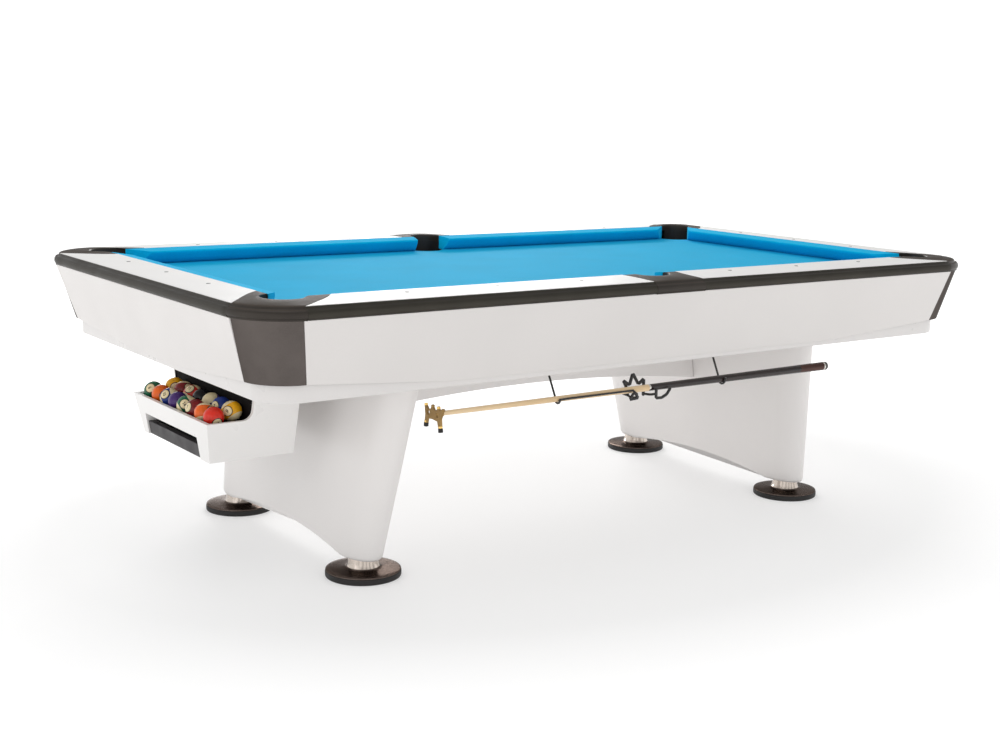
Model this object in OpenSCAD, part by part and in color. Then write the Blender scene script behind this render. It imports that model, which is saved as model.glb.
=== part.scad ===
// Eight-foot pool table on two panel pedestals, with a ball box, a drawer and a bridge stick.
// +X runs along the table, +Y across it and +Z up. The ball box is at the foot end, -X.
// The origin is on the floor under the middle of the table.

/* [Playing area] */
// Distance between the cushion noses, along the table
play_length = 2235.2; // [2000:0.1:2540]
// Distance between the cushion noses, across the table
play_width = 1117.6; // [1050:0.1:1270]
// Height of the cloth above the floor
bed_height = 776; // [765:1:790]

/* [Rails] */
// Depth of a cushion, from its nose to the rail cap
cushion_depth = 50; // [46:1:54]
// Distance from the cushion nose to the outside of the rail trim
rail_width = 200; // [196:1:206]
// Height of the rail cap above the cloth
rail_rise = 47.5; // [46:0.5:50]
// Radius of the table's outer corners
corner_radius = 175; // [165:1:185]
// Distance from the table's outer corner to the end of a corner casting
casting_reach = 147; // [142:1:152]
// Half of the length of a side casting
side_casting_half = 90; // [86:1:94]

/* [Pockets] */
// Distance from the corner of the noses to the tip of a corner cushion
corner_tip = 85; // [80:1:88]
// Radius of a corner pocket
corner_pocket_r = 60; // [58:0.5:62]
// How far the centre of a corner pocket is outside both noses
corner_pocket_out = 34; // [32:1:36]
// Half of the mouth of a side pocket
side_tip = 65; // [62:1:68]
// Radius of a side pocket
side_pocket_r = 54; // [53:0.5:56]
// How far the centre of a side pocket is outside the nose
side_pocket_out = 58; // [56:1:60]

/* [Cabinet] */
// Height of the underside of the lower body above the floor
body_base = 570; // [566:1:574]
// Height of the lowest edge of an apron above the floor
apron_base = 586; // [585:1:590]
// How far an apron's edge rises towards the corners
apron_rise = 32; // [26:1:36]
// Width of the slanted edge next to each corner panel
apron_slope_run = 435; // [380:5:480]

/* [Pedestals] */
// Distance from the middle of the table to a pedestal's foot
foot_x = 821.5; // [800:0.5:840]
// Distance from the table's centre line to a foot
foot_y = 399.3; // [390:0.5:405]
// Thickness of a pedestal
pedestal_t = 104; // [98:1:110]
// How far a pedestal leans outwards from top to bottom, in degrees
pedestal_lean = 7.9; // [7:0.1:9]
// Height of a pedestal's underside above the floor
pedestal_base = 54; // [52:0.5:56]

/* [Feet] */
// Radius of a foot's disc
foot_r = 105.8; // [98:0.1:108]
// Radius of a foot's screw
screw_r = 12; // [10:0.5:14]

/* [Ball box] */
// Half of the width of the ball box at its base
box_half = 230; // [226:1:234]
// Height of the ball box's base above the floor
box_base = 328; // [326:1:330]
// Height of the ball box's front edge above the floor
box_front_top = 442; // [438:1:446]
// Diameter of a ball
ball_d = 57.15; // [56.9:0.05:57.2]

/* [Bridge stick] */
// Height of the stick's axis above the floor
stick_z = 503; // [500:1:506]
// Distance from the table's centre line to the stick's axis
stick_y = 684; // [680:1:688]

/* [Hidden] */
$fn = 64;

// Gap left between neighbouring pieces
gap = 0.4;
nose_x = play_length / 2;
nose_y = play_width / 2;
// The round outer corners of every layer share one upright axis, this far outside the noses
axis_out = rail_width - corner_radius;
axis_x = nose_x + axis_out;
axis_y = nose_y + axis_out;

// Heights of the bed and the rails
cloth_t = 1;
slate_t = 25.4;
slate_top = bed_height - cloth_t;
slate_bottom = slate_top - slate_t;
rail_top = bed_height + rail_rise;
cap_fall = 5;
cap_t = 20;
cap_bottom = rail_top - cap_t;
cap_out = rail_width - 18;
nose_z = bed_height + 38;
seam_along = rail_width - casting_reach;

// Aprons, outside face and thickness at the top and at the bottom
apron_top = bed_height + 8;
apron_top_out = rail_width - 6.5;
apron_foot_out = apron_top_out - 61.4;
apron_top_t = 17;
apron_foot_t = 7;
panel_top_reach = 133;
panel_foot_reach = 108;

// Lower body
body_out = apron_foot_out - apron_foot_t - 0.6;
body_wall = 20;
body_floor = 18;
body_top = 660;

// Ball gully
gully_r = 34;
gully_t = 4;
gully_y = nose_y + 44;
gully_head_z = 722;
gully_foot_z = 700;
cross_high_z = 664;
cross_low_z = 634;
drop_x = 1134;
drop_h = 23;
liner_base = 728;
liner_top = cap_bottom - gap;

// Pedestals: half of the distance between the centres of the round ends
pedestal_r = pedestal_t / 2;
end_y_foot = 417;
end_y_top = 497;
pedestal_h = body_base - gap - pedestal_base;
arch_half = 350;
arch_rise = 30;

// Feet
ring_h = 17;
ring_bore_r = 80;

// Ball box
box_flare = 0.268;
box_lean = 19 / 114;
box_front = -1196;
box_rear = -948;
box_opening = -1085;
box_wall = 12;
notch_left = -170;
notch_right = 195;
notch_top = 390;
tray_front_z = 420.4;
tray_slope = 0.15;
tray_t = 3;
deck_z = 400;
chute_half = 238;
ball_front_x = -1171.5;
ball_back_x = -1114;
ball_front_z = 449;
ball_back_z = 457.8;

// Drawer
drawer_gap = 4;
drawer_top = 368;
drawer_base = box_base + 2;
drawer_rear = -964;
drawer_wall = 6;
runner_z = 350;
runner_h = 6;
runner_w = 7;
runner_x = -1002;
groove_x = -1184;

// Hooks, arm and stick
wire_r = 3.2;
hook_foot_x = -375;
hook_head_x = 236;
hook_root_y = 640;
arm_end_x = -106;
spider_front_y = -stick_y - 20;
stick_tip_x = -772;
stick_joint_x = -48;
sleeve_x = 561;
stick_end_x = 682;
tip_r = 6.2;
joint_r = 9.8;
butt_r = 13.2;

// ---------------------------------------------------------------- placing

// The back head corner, mirrored to the corner that the signs name
module at_corner(sx, sy) {
    mirror([sx < 0 ? 1 : 0, 0, 0])
        mirror([0, sy < 0 ? 1 : 0, 0])
            children();
}

// Rail coordinates are along, out from the nose, and height
module long_side(sy) {
    mirror([0, sy < 0 ? 1 : 0, 0])
        translate([0, nose_y, 0])
            children();
}

module short_side(sx) {
    mirror([sx < 0 ? 1 : 0, 0, 0])
        translate([nose_x, 0, 0])
            rotate([0, 0, -90])
                children();
}

// A profile of [out, height] points, drawn out along the rail
module rail_bar(from, to, points) {
    translate([from, 0, 0])
        rotate([90, 0, 90])
            linear_extrude(to - from)
                polygon(points);
}

// A profile of [out, height] points, turned about a corner's upright axis
module corner_turn(points) {
    translate([axis_x, axis_y, 0])
        rotate_extrude(angle = 90, $fn = 96)
            polygon([for (p = points) [p[0] - axis_out, p[1]]]);
}

// A plan outline in rail coordinates, between two heights
module plan(points, low, high) {
    translate([0, 0, low])
        linear_extrude(high - low)
            polygon(points);
}

// A block with round upright edges, centred on the table
module rounded_block(out, low, high) {
    r = out - axis_out;
    translate([0, 0, low])
        linear_extrude(high - low)
            union() {
                square([2 * axis_x, 2 * (nose_y + out)], center = true);
                square([2 * (nose_x + out), 2 * axis_y], center = true);
                for (sx = [-1, 1], sy = [-1, 1])
                    translate([sx * axis_x, sy * axis_y])
                        circle(r = r, $fn = 96);
            }
}

// ---------------------------------------------------------------- rails

cap_profile = [
    [cushion_depth + gap, cap_bottom],
    [cap_out, cap_bottom],
    [cap_out, rail_top - cap_fall],
    [cushion_depth + gap, rail_top]
];

// The end of a cap runs at 45 degrees from the cushion to the seam of the trim
cap_end_in = seam_along - cap_out + cushion_depth;

module end_cap() {
    reach_in = nose_y + cap_end_in - gap;
    reach_out = nose_y + seam_along - gap;
    intersection() {
        rail_bar(-reach_out, reach_out, cap_profile);
        plan([[-reach_in, cushion_depth], [reach_in, cushion_depth],
              [reach_out, cap_out], [-reach_out, cap_out]], cap_bottom - 1, rail_top + 1);
    }
}

module side_cap() {
    start = side_casting_half + gap;
    reach_in = nose_x + cap_end_in - gap;
    reach_out = nose_x + seam_along - gap;
    intersection() {
        rail_bar(start, reach_out, cap_profile);
        plan([[start, cushion_depth], [reach_in, cushion_depth], [reach_out, cap_out],
              [start, cap_out]], cap_bottom - 1, rail_top + 1);
    }
}

cushion_profile = [
    [0, nose_z - 2],
    [1.5, nose_z + 1.5],
    [6, nose_z + 3],
    [cushion_depth, rail_top - 0.5],
    [cushion_depth, bed_height + 1],
    [26, bed_height + 1],
    [3, nose_z - 8]
];

// Facing angles: the cushion's end slants towards the pocket
corner_facing = cushion_depth / tan(38);
side_facing = cushion_depth * tan(14);

module end_cushion() {
    tip = nose_y - corner_tip;
    back = tip + corner_facing;
    intersection() {
        rail_bar(-back, back, cushion_profile);
        plan([[-tip, -1], [tip, -1], [back, cushion_depth], [-back, cushion_depth]],
             bed_height, rail_top);
    }
}

module side_cushion() {
    tip = nose_x - corner_tip;
    back = tip + corner_facing;
    start_back = side_tip - side_facing;
    intersection() {
        rail_bar(start_back, back, cushion_profile);
        plan([[side_tip, -1], [tip, -1], [back, cushion_depth], [start_back, cushion_depth]],
             bed_height, rail_top);
    }
}

// Half-round band below, hollow groove above
trim_profile = [
    [cap_out + gap, 785],
    [rail_width - 4, 785],
    [rail_width - 0.8, 789],
    [rail_width, 796],
    [rail_width - 1, 803],
    [rail_width - 6, 808],
    [rail_width - 12, 810.5],
    [rail_width - 15.5, 816.5],
    [cap_out + gap, 817]
];

module trim_ring() {
    for (sy = [-1, 1])
        long_side(sy)
            rail_bar(-axis_x, axis_x, trim_profile);
    for (sx = [-1, 1])
        short_side(sx)
            rail_bar(-axis_y, axis_y, trim_profile);
    for (sx = [-1, 1], sy = [-1, 1])
        at_corner(sx, sy)
            corner_turn(trim_profile);
}

module end_trim(sx) {
    reach = nose_y + seam_along - gap;
    intersection() {
        trim_ring();
        translate([sx > 0 ? axis_x : -axis_x - 300, -reach, 700])
            cube([300, 2 * reach, 200]);
    }
}

module side_trim(sx, sy) {
    start = side_casting_half + gap;
    reach = nose_x + seam_along - gap - start;
    intersection() {
        trim_ring();
        at_corner(sx, sy)
            translate([start, axis_y, 700])
                cube([reach, 300, 200]);
    }
}

// Block that holds the whole of the back head corner of a layer
module corner_zone(low, high) {
    translate([nose_x + seam_along, nose_y + seam_along, low])
        cube([400, 400, high - low]);
}

module corner_casting(sx, sy) {
    intersection() {
        trim_ring();
        at_corner(sx, sy)
            corner_zone(700, 900);
    }
    at_corner(sx, sy)
        difference() {
            intersection() {
                translate([nose_x, nose_y, 0])
                    plan([[cushion_depth + gap, cap_end_in], [cushion_depth + gap, cushion_depth + gap],
                          [cap_end_in, cushion_depth + gap], [seam_along, cap_out + gap],
                          [seam_along, cap_out + 4], [220, 220], [cap_out + 4, seam_along],
                          [cap_out + gap, seam_along]], cap_bottom, rail_top - 2.5);
                union() {
                    rounded_block(cap_out, cap_bottom - 1, rail_top);
                    intersection() {
                        rounded_block(cap_out + 2, cap_bottom - 1, rail_top);
                        corner_zone(700, 900);
                    }
                }
            }
            translate([nose_x + corner_pocket_out, nose_y + corner_pocket_out, cap_bottom - 1])
                cylinder(r = corner_pocket_r, h = 40);
        }
}

module side_casting(sy) {
    intersection() {
        trim_ring();
        translate([-side_casting_half, sy > 0 ? axis_y : -axis_y - 300, 700])
            cube([2 * side_casting_half, 300, 200]);
    }
    long_side(sy)
        difference() {
            plan([[-side_casting_half, cushion_depth + gap], [side_casting_half, cushion_depth + gap],
                  [side_casting_half, cap_out + 2], [-side_casting_half, cap_out + 2]],
                 cap_bottom, rail_top - 2.5);
            translate([0, side_pocket_out, cap_bottom - 1])
                cylinder(r = side_pocket_r, h = 40);
        }
}

sub_rail_out = rail_width - 28;
sub_rail_profile = [
    [cushion_depth + gap, slate_top + gap],
    [sub_rail_out, slate_top + gap],
    [sub_rail_out, cap_bottom - gap],
    [cushion_depth + gap, cap_bottom - gap]
];

// Places of the bolts that draw each rail down on the slate from below
bolt_out = 84;
bolt_step = 300;
bolt_start = 260;

module at_bolts(z) {
    for (sx = [-1, 1], i = [-1 : 1])
        translate([sx * (nose_x + bolt_out), i * bolt_step, z])
            children();
    for (sx = [-1, 1], sy = [-1, 1], i = [0 : 2])
        translate([sx * (bolt_start + bolt_step * i), sy * (nose_y + bolt_out), z])
            children();
}

module sub_rails() {
    color("burlywood")
        difference() {
            union() {
                for (sx = [-1, 1])
                    short_side(sx)
                        rail_bar(-(nose_y - 30), nose_y - 30, sub_rail_profile);
                for (sx = [-1, 1], sy = [-1, 1])
                    mirror([sx < 0 ? 1 : 0, 0, 0])
                        long_side(sy)
                            rail_bar(side_casting_half + 2, nose_x - 30, sub_rail_profile);
            }
            at_bolts(slate_top - 1)
                cylinder(r = 4.3, h = 16);
        }
}

module rail_bolts() {
    color("dimgray")
        at_bolts(slate_bottom - 5 - gap) {
            cylinder(r = 4, h = 44);
            cylinder(r = 9, h = 5, $fn = 6);
        }
}

// Height of the cap's top at a distance from the nose
function cap_z(out) = rail_top - cap_fall * (out - cushion_depth) / (cap_out - cushion_depth);

// Places of the sights, at the eighths of the length and the quarters of the width
sight_out = 93.7;
sight_z = cap_z(sight_out) - 0.6;

module at_sights(z) {
    for (sx = [-1, 1], i = [-1 : 1])
        translate([sx * (nose_x + sight_out), i * play_width / 4, z])
            children();
    for (sx = [-1, 1], sy = [-1, 1], i = [1 : 3])
        translate([sx * i * play_length / 8, sy * (nose_y + sight_out), z])
            children();
}

module rail_sights() {
    color("dimgray")
        at_sights(sight_z)
            cylinder(r = 6, h = 1.2);
}

module sight_holes() {
    at_sights(sight_z - 0.2)
        cylinder(r = 6.2, h = 5);
}

// ---------------------------------------------------------------- bed

// What the pockets take out of the slate and the cloth
module pocket_cuts(extra, low, high) {
    step = 1.5;
    for (sx = [-1, 1], sy = [-1, 1])
        at_corner(sx, sy)
            translate([nose_x + corner_pocket_out, nose_y + corner_pocket_out, low]) {
                cylinder(r = corner_pocket_r + extra, h = high - low);
                rotate([0, 0, 45])
                    translate([0, step - corner_pocket_r - extra, 0])
                        cube([200, 2 * (corner_pocket_r + extra - step), high - low]);
            }
    for (sy = [-1, 1])
        long_side(sy)
            translate([0, side_pocket_out, low]) {
                cylinder(r = side_pocket_r + extra, h = high - low);
                translate([step - side_pocket_r - extra, 0, 0])
                    cube([2 * (side_pocket_r + extra - step), 200, high - low]);
            }
}

module slates() {
    slate_out = 110;
    third = 2 * (nose_x + slate_out) / 3;
    color("dimgray")
        difference() {
            for (i = [-1 : 1])
                translate([i * third - third / 2 + gap / 2, -(nose_y + slate_out), slate_bottom])
                    cube([third - gap, 2 * (nose_y + slate_out), slate_t]);
            pocket_cuts(4, slate_bottom - 1, slate_top + 1);
            at_bolts(slate_bottom - 1)
                cylinder(r = 5, h = slate_t + 2);
        }
}

module bed_cloth() {
    cloth_out = 46;
    color("deepskyblue")
        difference() {
            translate([-(nose_x + cloth_out), -(nose_y + cloth_out), slate_top])
                cube([2 * (nose_x + cloth_out), 2 * (nose_y + cloth_out), cloth_t]);
            pocket_cuts(4.5, slate_top - 1, bed_height + 1);
        }
}

// Grid of planks that carries the slates on the lower body
module slate_frame() {
    plank = 42;
    low = body_base + body_floor + gap;
    high = slate_bottom - gap;
    color("burlywood")
        difference() {
            translate([-1060, -500, low])
                cube([2120, 1000, high - low]);
            for (i = [-1 : 1], j = [0, 1])
                translate([i * 692.67 - 325.33, -500 + plank + j * (500 - plank / 2), low - 1])
                    cube([650.67, 500 - 1.5 * plank, high - low + 2]);
        }
}

// ---------------------------------------------------------------- pockets and gully

// Tube below a pocket, narrowing to a mouth over the gully
module pocket_liner(r) {
    wall = 3;
    mouth_r = 31;
    bend_z = slate_bottom - 3;
    rotate_extrude($fn = 96)
        polygon([[r - 1, liner_top], [r + wall, liner_top], [r + wall, bend_z],
                 [mouth_r + wall, liner_base], [mouth_r, liner_base], [r - 1, bend_z]]);
}

module pocket_liners() {
    low = slate_bottom - gap;
    color("black") {
        for (sx = [-1, 1], sy = [-1, 1])
            at_corner(sx, sy)
                difference() {
                    translate([nose_x + corner_pocket_out, nose_y + corner_pocket_out, 0])
                        pocket_liner(corner_pocket_r);
                    translate([nose_x - 150, nose_y - 150, low])
                        cube([180, 400, 100]);
                    translate([nose_x - 150, nose_y - 150, low])
                        cube([400, 180, 100]);
                }
        for (sy = [-1, 1])
            long_side(sy)
                difference() {
                    translate([0, side_pocket_out, 0])
                        pocket_liner(side_pocket_r);
                    translate([-100, -60, low])
                        cube([200, 60 + cushion_depth + 4, 100]);
                }
    }
}

// Half-pipe from one end to the other, with closed ends left to its neighbours
module half_pipe(from, to) {
    run = to - from;
    length = norm(run);
    pitch = asin(run[2] / length);
    heading = atan2(run[1], run[0]);
    translate(from)
        rotate([0, 0, heading])
            rotate([0, -pitch, 0])
                rotate([0, 90, 0])
                    difference() {
                        cylinder(r = gully_r + gully_t, h = length);
                        translate([0, 0, -1])
                            cylinder(r = gully_r, h = length + 2);
                        translate([-100, -100, -1])
                            cube([100, 200, length + 2]);
                    }
}

// One gully runs under the pockets of each long side, and two cross ones meet over the ball box
module ball_gully() {
    reach = gully_r + gully_t;
    color("dimgray") {
        for (sy = [-1, 1]) {
            half_pipe([nose_x + 70, sy * gully_y, gully_head_z],
                      [-drop_x + reach + 2, sy * gully_y, gully_foot_z]);
            half_pipe([-drop_x, sy * (gully_y + reach - 2), cross_high_z],
                      [-drop_x, sy * (reach + 2), cross_low_z]);
            // stop that a ball meets at the end of its long run
            translate([-drop_x - reach, sy * gully_y - reach + 2, cross_high_z - 9])
                cube([gully_t, 2 * reach - 4, liner_base - cross_high_z + 6]);
        }
        translate([-drop_x, 0, body_base + 1])
            difference() {
                cylinder(r = reach, h = drop_h);
                translate([0, 0, -1])
                    cylinder(r = gully_r, h = drop_h + 2);
            }
    }
}

// ---------------------------------------------------------------- cabinet

apron_profile = [
    [apron_foot_out, apron_base],
    [apron_top_out, apron_top],
    [apron_top_out - apron_top_t, apron_top],
    [apron_foot_out - apron_foot_t, apron_base]
];

module apron_ring() {
    for (sy = [-1, 1])
        long_side(sy)
            rail_bar(-axis_x, axis_x, apron_profile);
    for (sx = [-1, 1])
        short_side(sx)
            rail_bar(-axis_y, axis_y, apron_profile);
    for (sx = [-1, 1], sy = [-1, 1])
        at_corner(sx, sy)
            corner_turn(apron_profile);
}

// Where a corner panel meets an apron, as a distance outside the nose at a height
function panel_seam(z) = let (f = (z - apron_base) / (apron_top - apron_base))
    (apron_foot_out - panel_foot_reach) * (1 - f) + (apron_top_out - panel_top_reach) * f;

// The wedge that holds one corner panel
module panel_wedge(sx, sy) {
    low = apron_base - 10;
    high = apron_top + 10;
    a = panel_seam(low);
    b = panel_seam(high);
    at_corner(sx, sy)
        intersection() {
            translate([0, nose_y + 400, 0])
                rotate([90, 0, 0])
                    linear_extrude(600)
                        polygon([[nose_x + a, low], [nose_x + 400, low],
                                 [nose_x + 400, high], [nose_x + b, high]]);
            translate([nose_x - 200, 0, 0])
                rotate([90, 0, 90])
                    linear_extrude(700)
                        polygon([[nose_y + a, low], [nose_y + 400, low],
                                 [nose_y + 400, high], [nose_y + b, high]]);
        }
}

module corner_panel(sx, sy) {
    color("dimgray")
        intersection() {
            apron_ring();
            panel_wedge(sx, sy);
            translate([-2000, -2000, apron_base + apron_rise])
                cube([4000, 4000, 300]);
        }
}

// Underside of an apron: level in the middle and rising to the corner panels
module boat_cut(half) {
    end = half + 200;
    knee = half + panel_seam(apron_base) - apron_slope_run;
    slope = apron_rise / apron_slope_run;
    rotate([90, 0, 0])
        translate([0, 0, -1500])
            linear_extrude(3000)
                polygon([[-end, apron_base - 20], [end, apron_base - 20],
                         [end, apron_base + slope * (end - knee)], [knee, apron_base],
                         [-knee, apron_base], [-end, apron_base + slope * (end - knee)]]);
}

// Stretch of the apron ring between the seams of two corner panels, drawn along X
module between_seams(half) {
    low = apron_base - 20;
    high = apron_top + 10;
    a = half + panel_seam(low) - gap;
    b = half + panel_seam(high) - gap;
    rotate([90, 0, 0])
        translate([0, 0, -1500])
            linear_extrude(3000)
                polygon([[-a, low], [a, low], [b, high], [-b, high]]);
}

module long_apron(sy) {
    color("whitesmoke")
        difference() {
            intersection() {
                apron_ring();
                between_seams(nose_x);
                translate([-1500, sy > 0 ? 400 : -1400, 500])
                    cube([3000, 1000, 400]);
            }
            boat_cut(nose_x);
        }
}

module short_apron(sx) {
    color("whitesmoke")
        difference() {
            intersection() {
                apron_ring();
                rotate([0, 0, 90])
                    between_seams(nose_y);
                translate([sx > 0 ? 1000 : -2000, -1000, 500])
                    cube([1000, 2000, 400]);
            }
            rotate([0, 0, 90])
                boat_cut(nose_y);
        }
}

module lower_body() {
    color("whitesmoke")
        difference() {
            rounded_block(body_out, body_base, body_top);
            rounded_block(body_out - body_wall, body_base + body_floor, body_top + 1);
            translate([-drop_x, 0, body_base - 1])
                cylinder(r = gully_r + gully_t + 1, h = body_floor + 2);
            for (x = [hook_foot_x, hook_head_x])
                translate([x, -hook_root_y, body_base - 1])
                    cylinder(r = wire_r + 0.1, h = 13);
        }
}

// Board on edge between the pedestals, hollowed along its lower edge
module centre_beam() {
    half_t = 20;
    reach = 720;
    end_z = 352;
    rise = 46;
    r = (reach * reach + rise * rise) / (2 * rise);
    color("whitesmoke")
        difference() {
            translate([-reach, -half_t, end_z])
                cube([2 * reach, 2 * half_t, body_base - gap - end_z]);
            translate([0, half_t + 1, end_z + rise - r])
                rotate([90, 0, 0])
                    cylinder(r = r, h = 2 * half_t + 2, $fn = 360);
            for (sx = [-1, 1])
                pedestal_slab(sx, gap);
        }
}

// ---------------------------------------------------------------- pedestals

// Frame of a pedestal: its middle is upright in this frame and leans in the table's
module pedestal_frame(sx) {
    mirror([sx < 0 ? 1 : 0, 0, 0])
        translate([foot_x, 0, pedestal_base])
            rotate([0, -pedestal_lean, 0])
                children();
}

// A wide leaning slab that stands for one pedestal's faces
module pedestal_slab(sx, grow) {
    pedestal_frame(sx)
        translate([-pedestal_r - grow, -300, -100])
            cube([pedestal_t + 2 * grow, 600, 800]);
}

module pedestal(sx) {
    h = pedestal_h / cos(pedestal_lean);
    spread = (end_y_top - end_y_foot) / h;
    over = 40;
    low_y = end_y_foot - spread * over;
    high_y = end_y_top + spread * over;
    tilt = atan(spread);
    // a hair thinner than the round ends, so that their faces cross and don't only touch
    slab_half = pedestal_r - 0.05;
    r = (arch_half * arch_half + arch_rise * arch_rise) / (2 * arch_rise);
    color("whitesmoke")
        difference() {
            intersection() {
                pedestal_frame(sx)
                    union() {
                        translate([slab_half, 0, 0])
                            rotate([0, -90, 0])
                                linear_extrude(2 * slab_half)
                                    polygon([[-over, -low_y], [-over, low_y],
                                             [h + over, high_y], [h + over, -high_y]]);
                        for (sy = [-1, 1])
                            mirror([0, sy < 0 ? 1 : 0, 0])
                                translate([0, low_y, -over])
                                    rotate([-tilt, 0, 0])
                                        translate([0, 0, -20])
                                            cylinder(r = pedestal_r, h = h + 2 * over + 60);
                    }
                translate([-2000, -2000, pedestal_base])
                    cube([4000, 4000, pedestal_h]);
            }
            translate([sx * foot_x - 200, 0, pedestal_base + arch_rise - r])
                rotate([0, 90, 0])
                    cylinder(r = r, h = 400, $fn = 240);
            for (sy = [-1, 1])
                translate([sx * foot_x, sy * foot_y, pedestal_base - 1])
                    cylinder(r = screw_r + 0.05, h = 91);
        }
}

// ---------------------------------------------------------------- feet

module foot_ring(sx, sy) {
    color("black")
        translate([sx * foot_x, sy * foot_y, 0])
            difference() {
                union() {
                    cylinder(r1 = foot_r - 2.5, r2 = foot_r, h = 3);
                    translate([0, 0, 3])
                        cylinder(r = foot_r, h = ring_h - 3);
                }
                translate([0, 0, 5])
                    cylinder(r = ring_bore_r + 0.05, h = ring_h);
            }
}

// Disc, neck and screw turn as one piece
module foot_disc(sx, sy) {
    color("silver")
        translate([sx * foot_x, sy * foot_y, 0])
            rotate_extrude($fn = 96)
                polygon([[0, 5.3], [ring_bore_r, 5.3], [ring_bore_r, ring_h + 0.3],
                         [foot_r - 1, ring_h + 0.3], [foot_r - 1, ring_h + 2],
                         [foot_r - 4, ring_h + 3.5], [47, 24], [44, 28], [39.5, pedestal_base - 0.4],
                         [screw_r, pedestal_base - 0.4], [screw_r, 128], [0, 128]]);
}

// ---------------------------------------------------------------- ball box

// Front edge of the box at a height: the front leans out
function box_front_at(z) = box_front - box_lean * (z - box_base);
function box_half_at(z) = box_half + box_flare * (z - box_base);

// Side view of the box, shrunk by inset on its front and rear
function box_side_view(inset, low, high) = [
    [box_front_at(low) + inset, low],
    [box_front_at(high) + inset, high],
    [box_rear - inset, high],
    [box_rear - inset, low]
];

module box_solid(inset, low, high) {
    intersection() {
        translate([0, 400, 0])
            rotate([90, 0, 0])
                linear_extrude(800)
                    polygon(box_side_view(inset, low, high));
        translate([-1400, 0, 0])
            rotate([90, 0, 90])
                linear_extrude(600)
                    polygon([[-box_half_at(low) + inset, low], [box_half_at(low) - inset, low],
                             [box_half_at(high) - inset, high], [-box_half_at(high) + inset, high]]);
    }
}

function tray_z(x) = tray_front_z + tray_slope * (x + 1167.2);

module ball_box() {
    high = body_base - gap;
    fillet = 25;
    chute_x = box_opening + 4;
    stop_x = drawer_rear + 4;
    color("whitesmoke")
        difference() {
            box_solid(0, box_base, high);
            // open front above the tray, with a round inner corner
            translate([0, 400, 0])
                rotate([90, 0, 0])
                    linear_extrude(800)
                        polygon(concat([[-1400, box_front_top], [-1400, high + 1],
                                        [box_opening, high + 1]],
                                       [for (i = [0 : 6]) let (a = -15 * i)
                                           [box_opening - fillet + fillet * cos(a),
                                            box_front_top + fillet + fillet * sin(a)]]));
            // the tray's room
            intersection() {
                box_solid(box_wall, box_base, high + 50);
                translate([-1300, -400, 0])
                    rotate([90, 0, 0])
                        mirror([0, 0, 1])
                            linear_extrude(800)
                                polygon([[0, deck_z], [227, deck_z], [227, 700], [0, 700]]);
            }
            // the chute room behind the tray
            translate([chute_x, -chute_half, deck_z])
                cube([box_rear - chute_x - box_wall, 2 * chute_half, 300]);
            // the drawer's room, open below, and a groove for the runner on each side of it
            translate([-1400, notch_left, box_base - 1])
                cube([1400 + stop_x, notch_right - notch_left, notch_top - box_base + 1]);
            translate([groove_x, notch_left - runner_w - 1, runner_z - 1])
                cube([stop_x - groove_x, notch_right - notch_left + 2 * runner_w + 2,
                      runner_h + 2]);
        }
}

// Black lining of the tray, with a sloping floor and a wall behind the balls
module ball_tray() {
    high = body_base - gap - 2;
    back_x = box_opening + gap;
    color("black")
        difference() {
            intersection() {
                box_solid(box_wall + gap, box_base, high + 40);
                translate([0, 400, 0])
                    rotate([90, 0, 0])
                        linear_extrude(800)
                            polygon([[-1230, deck_z + gap], [back_x + tray_t, deck_z + gap],
                                     [back_x + tray_t, high], [back_x - 2, high],
                                     [back_x - 2, box_front_top + 10],
                                     [-1120, box_front_top - 5], [-1230, box_front_top - 5]]);
            }
            intersection() {
                box_solid(box_wall + gap + tray_t, box_base, high + 60);
                translate([0, 400, 0])
                    rotate([90, 0, 0])
                        linear_extrude(800)
                            polygon([[-1230, tray_z(-1230)], [back_x, tray_z(back_x)],
                                     [back_x, 700], [-1230, 700]]);
            }
        }
}

// Rows of balls, [y, x] from the back to the front of the table
ball_rows = [
    [8, 214, -60, ball_front_x, ball_front_z],
    [7, 196, -65, ball_back_x, ball_back_z]
];

module balls() {
    color("firebrick")
        for (row = ball_rows)
            for (i = [0 : row[0] - 1])
                translate([row[3], row[1] + row[2] * i, row[4]])
                    sphere(d = ball_d, $fn = 48);
}

module drawer() {
    left = notch_left + drawer_gap;
    right = notch_right - drawer_gap;
    front_low = box_front_at(drawer_base) + 4;
    front_high = box_front_at(drawer_top) + 4;
    color("dimgray") {
        difference() {
            translate([0, right, 0])
                rotate([90, 0, 0])
                    linear_extrude(right - left)
                        polygon([[front_low, drawer_base], [front_high, drawer_top],
                                 [drawer_rear, drawer_top], [drawer_rear, drawer_base]]);
            translate([front_low + 14, left + drawer_wall, drawer_base + drawer_wall])
                cube([drawer_rear - front_low - 14 - drawer_wall, right - left - 2 * drawer_wall, 100]);
        }
        for (y = [left - runner_w - drawer_gap + 1, right])
            translate([runner_x, y, runner_z])
                cube([drawer_rear - runner_x, runner_w + drawer_gap - 1, runner_h]);
    }
}

// ---------------------------------------------------------------- hooks and bridge stick

function unit(v) = v / norm(v);

// Direction of a wire at one of its points
function wire_way(points, i) = let (last = len(points) - 1)
    unit((i < last ? unit(points[i + 1] - points[i]) : [0, 0, 0])
       + (i > 0 ? unit(points[i] - points[i - 1]) : [0, 0, 0]));

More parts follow.
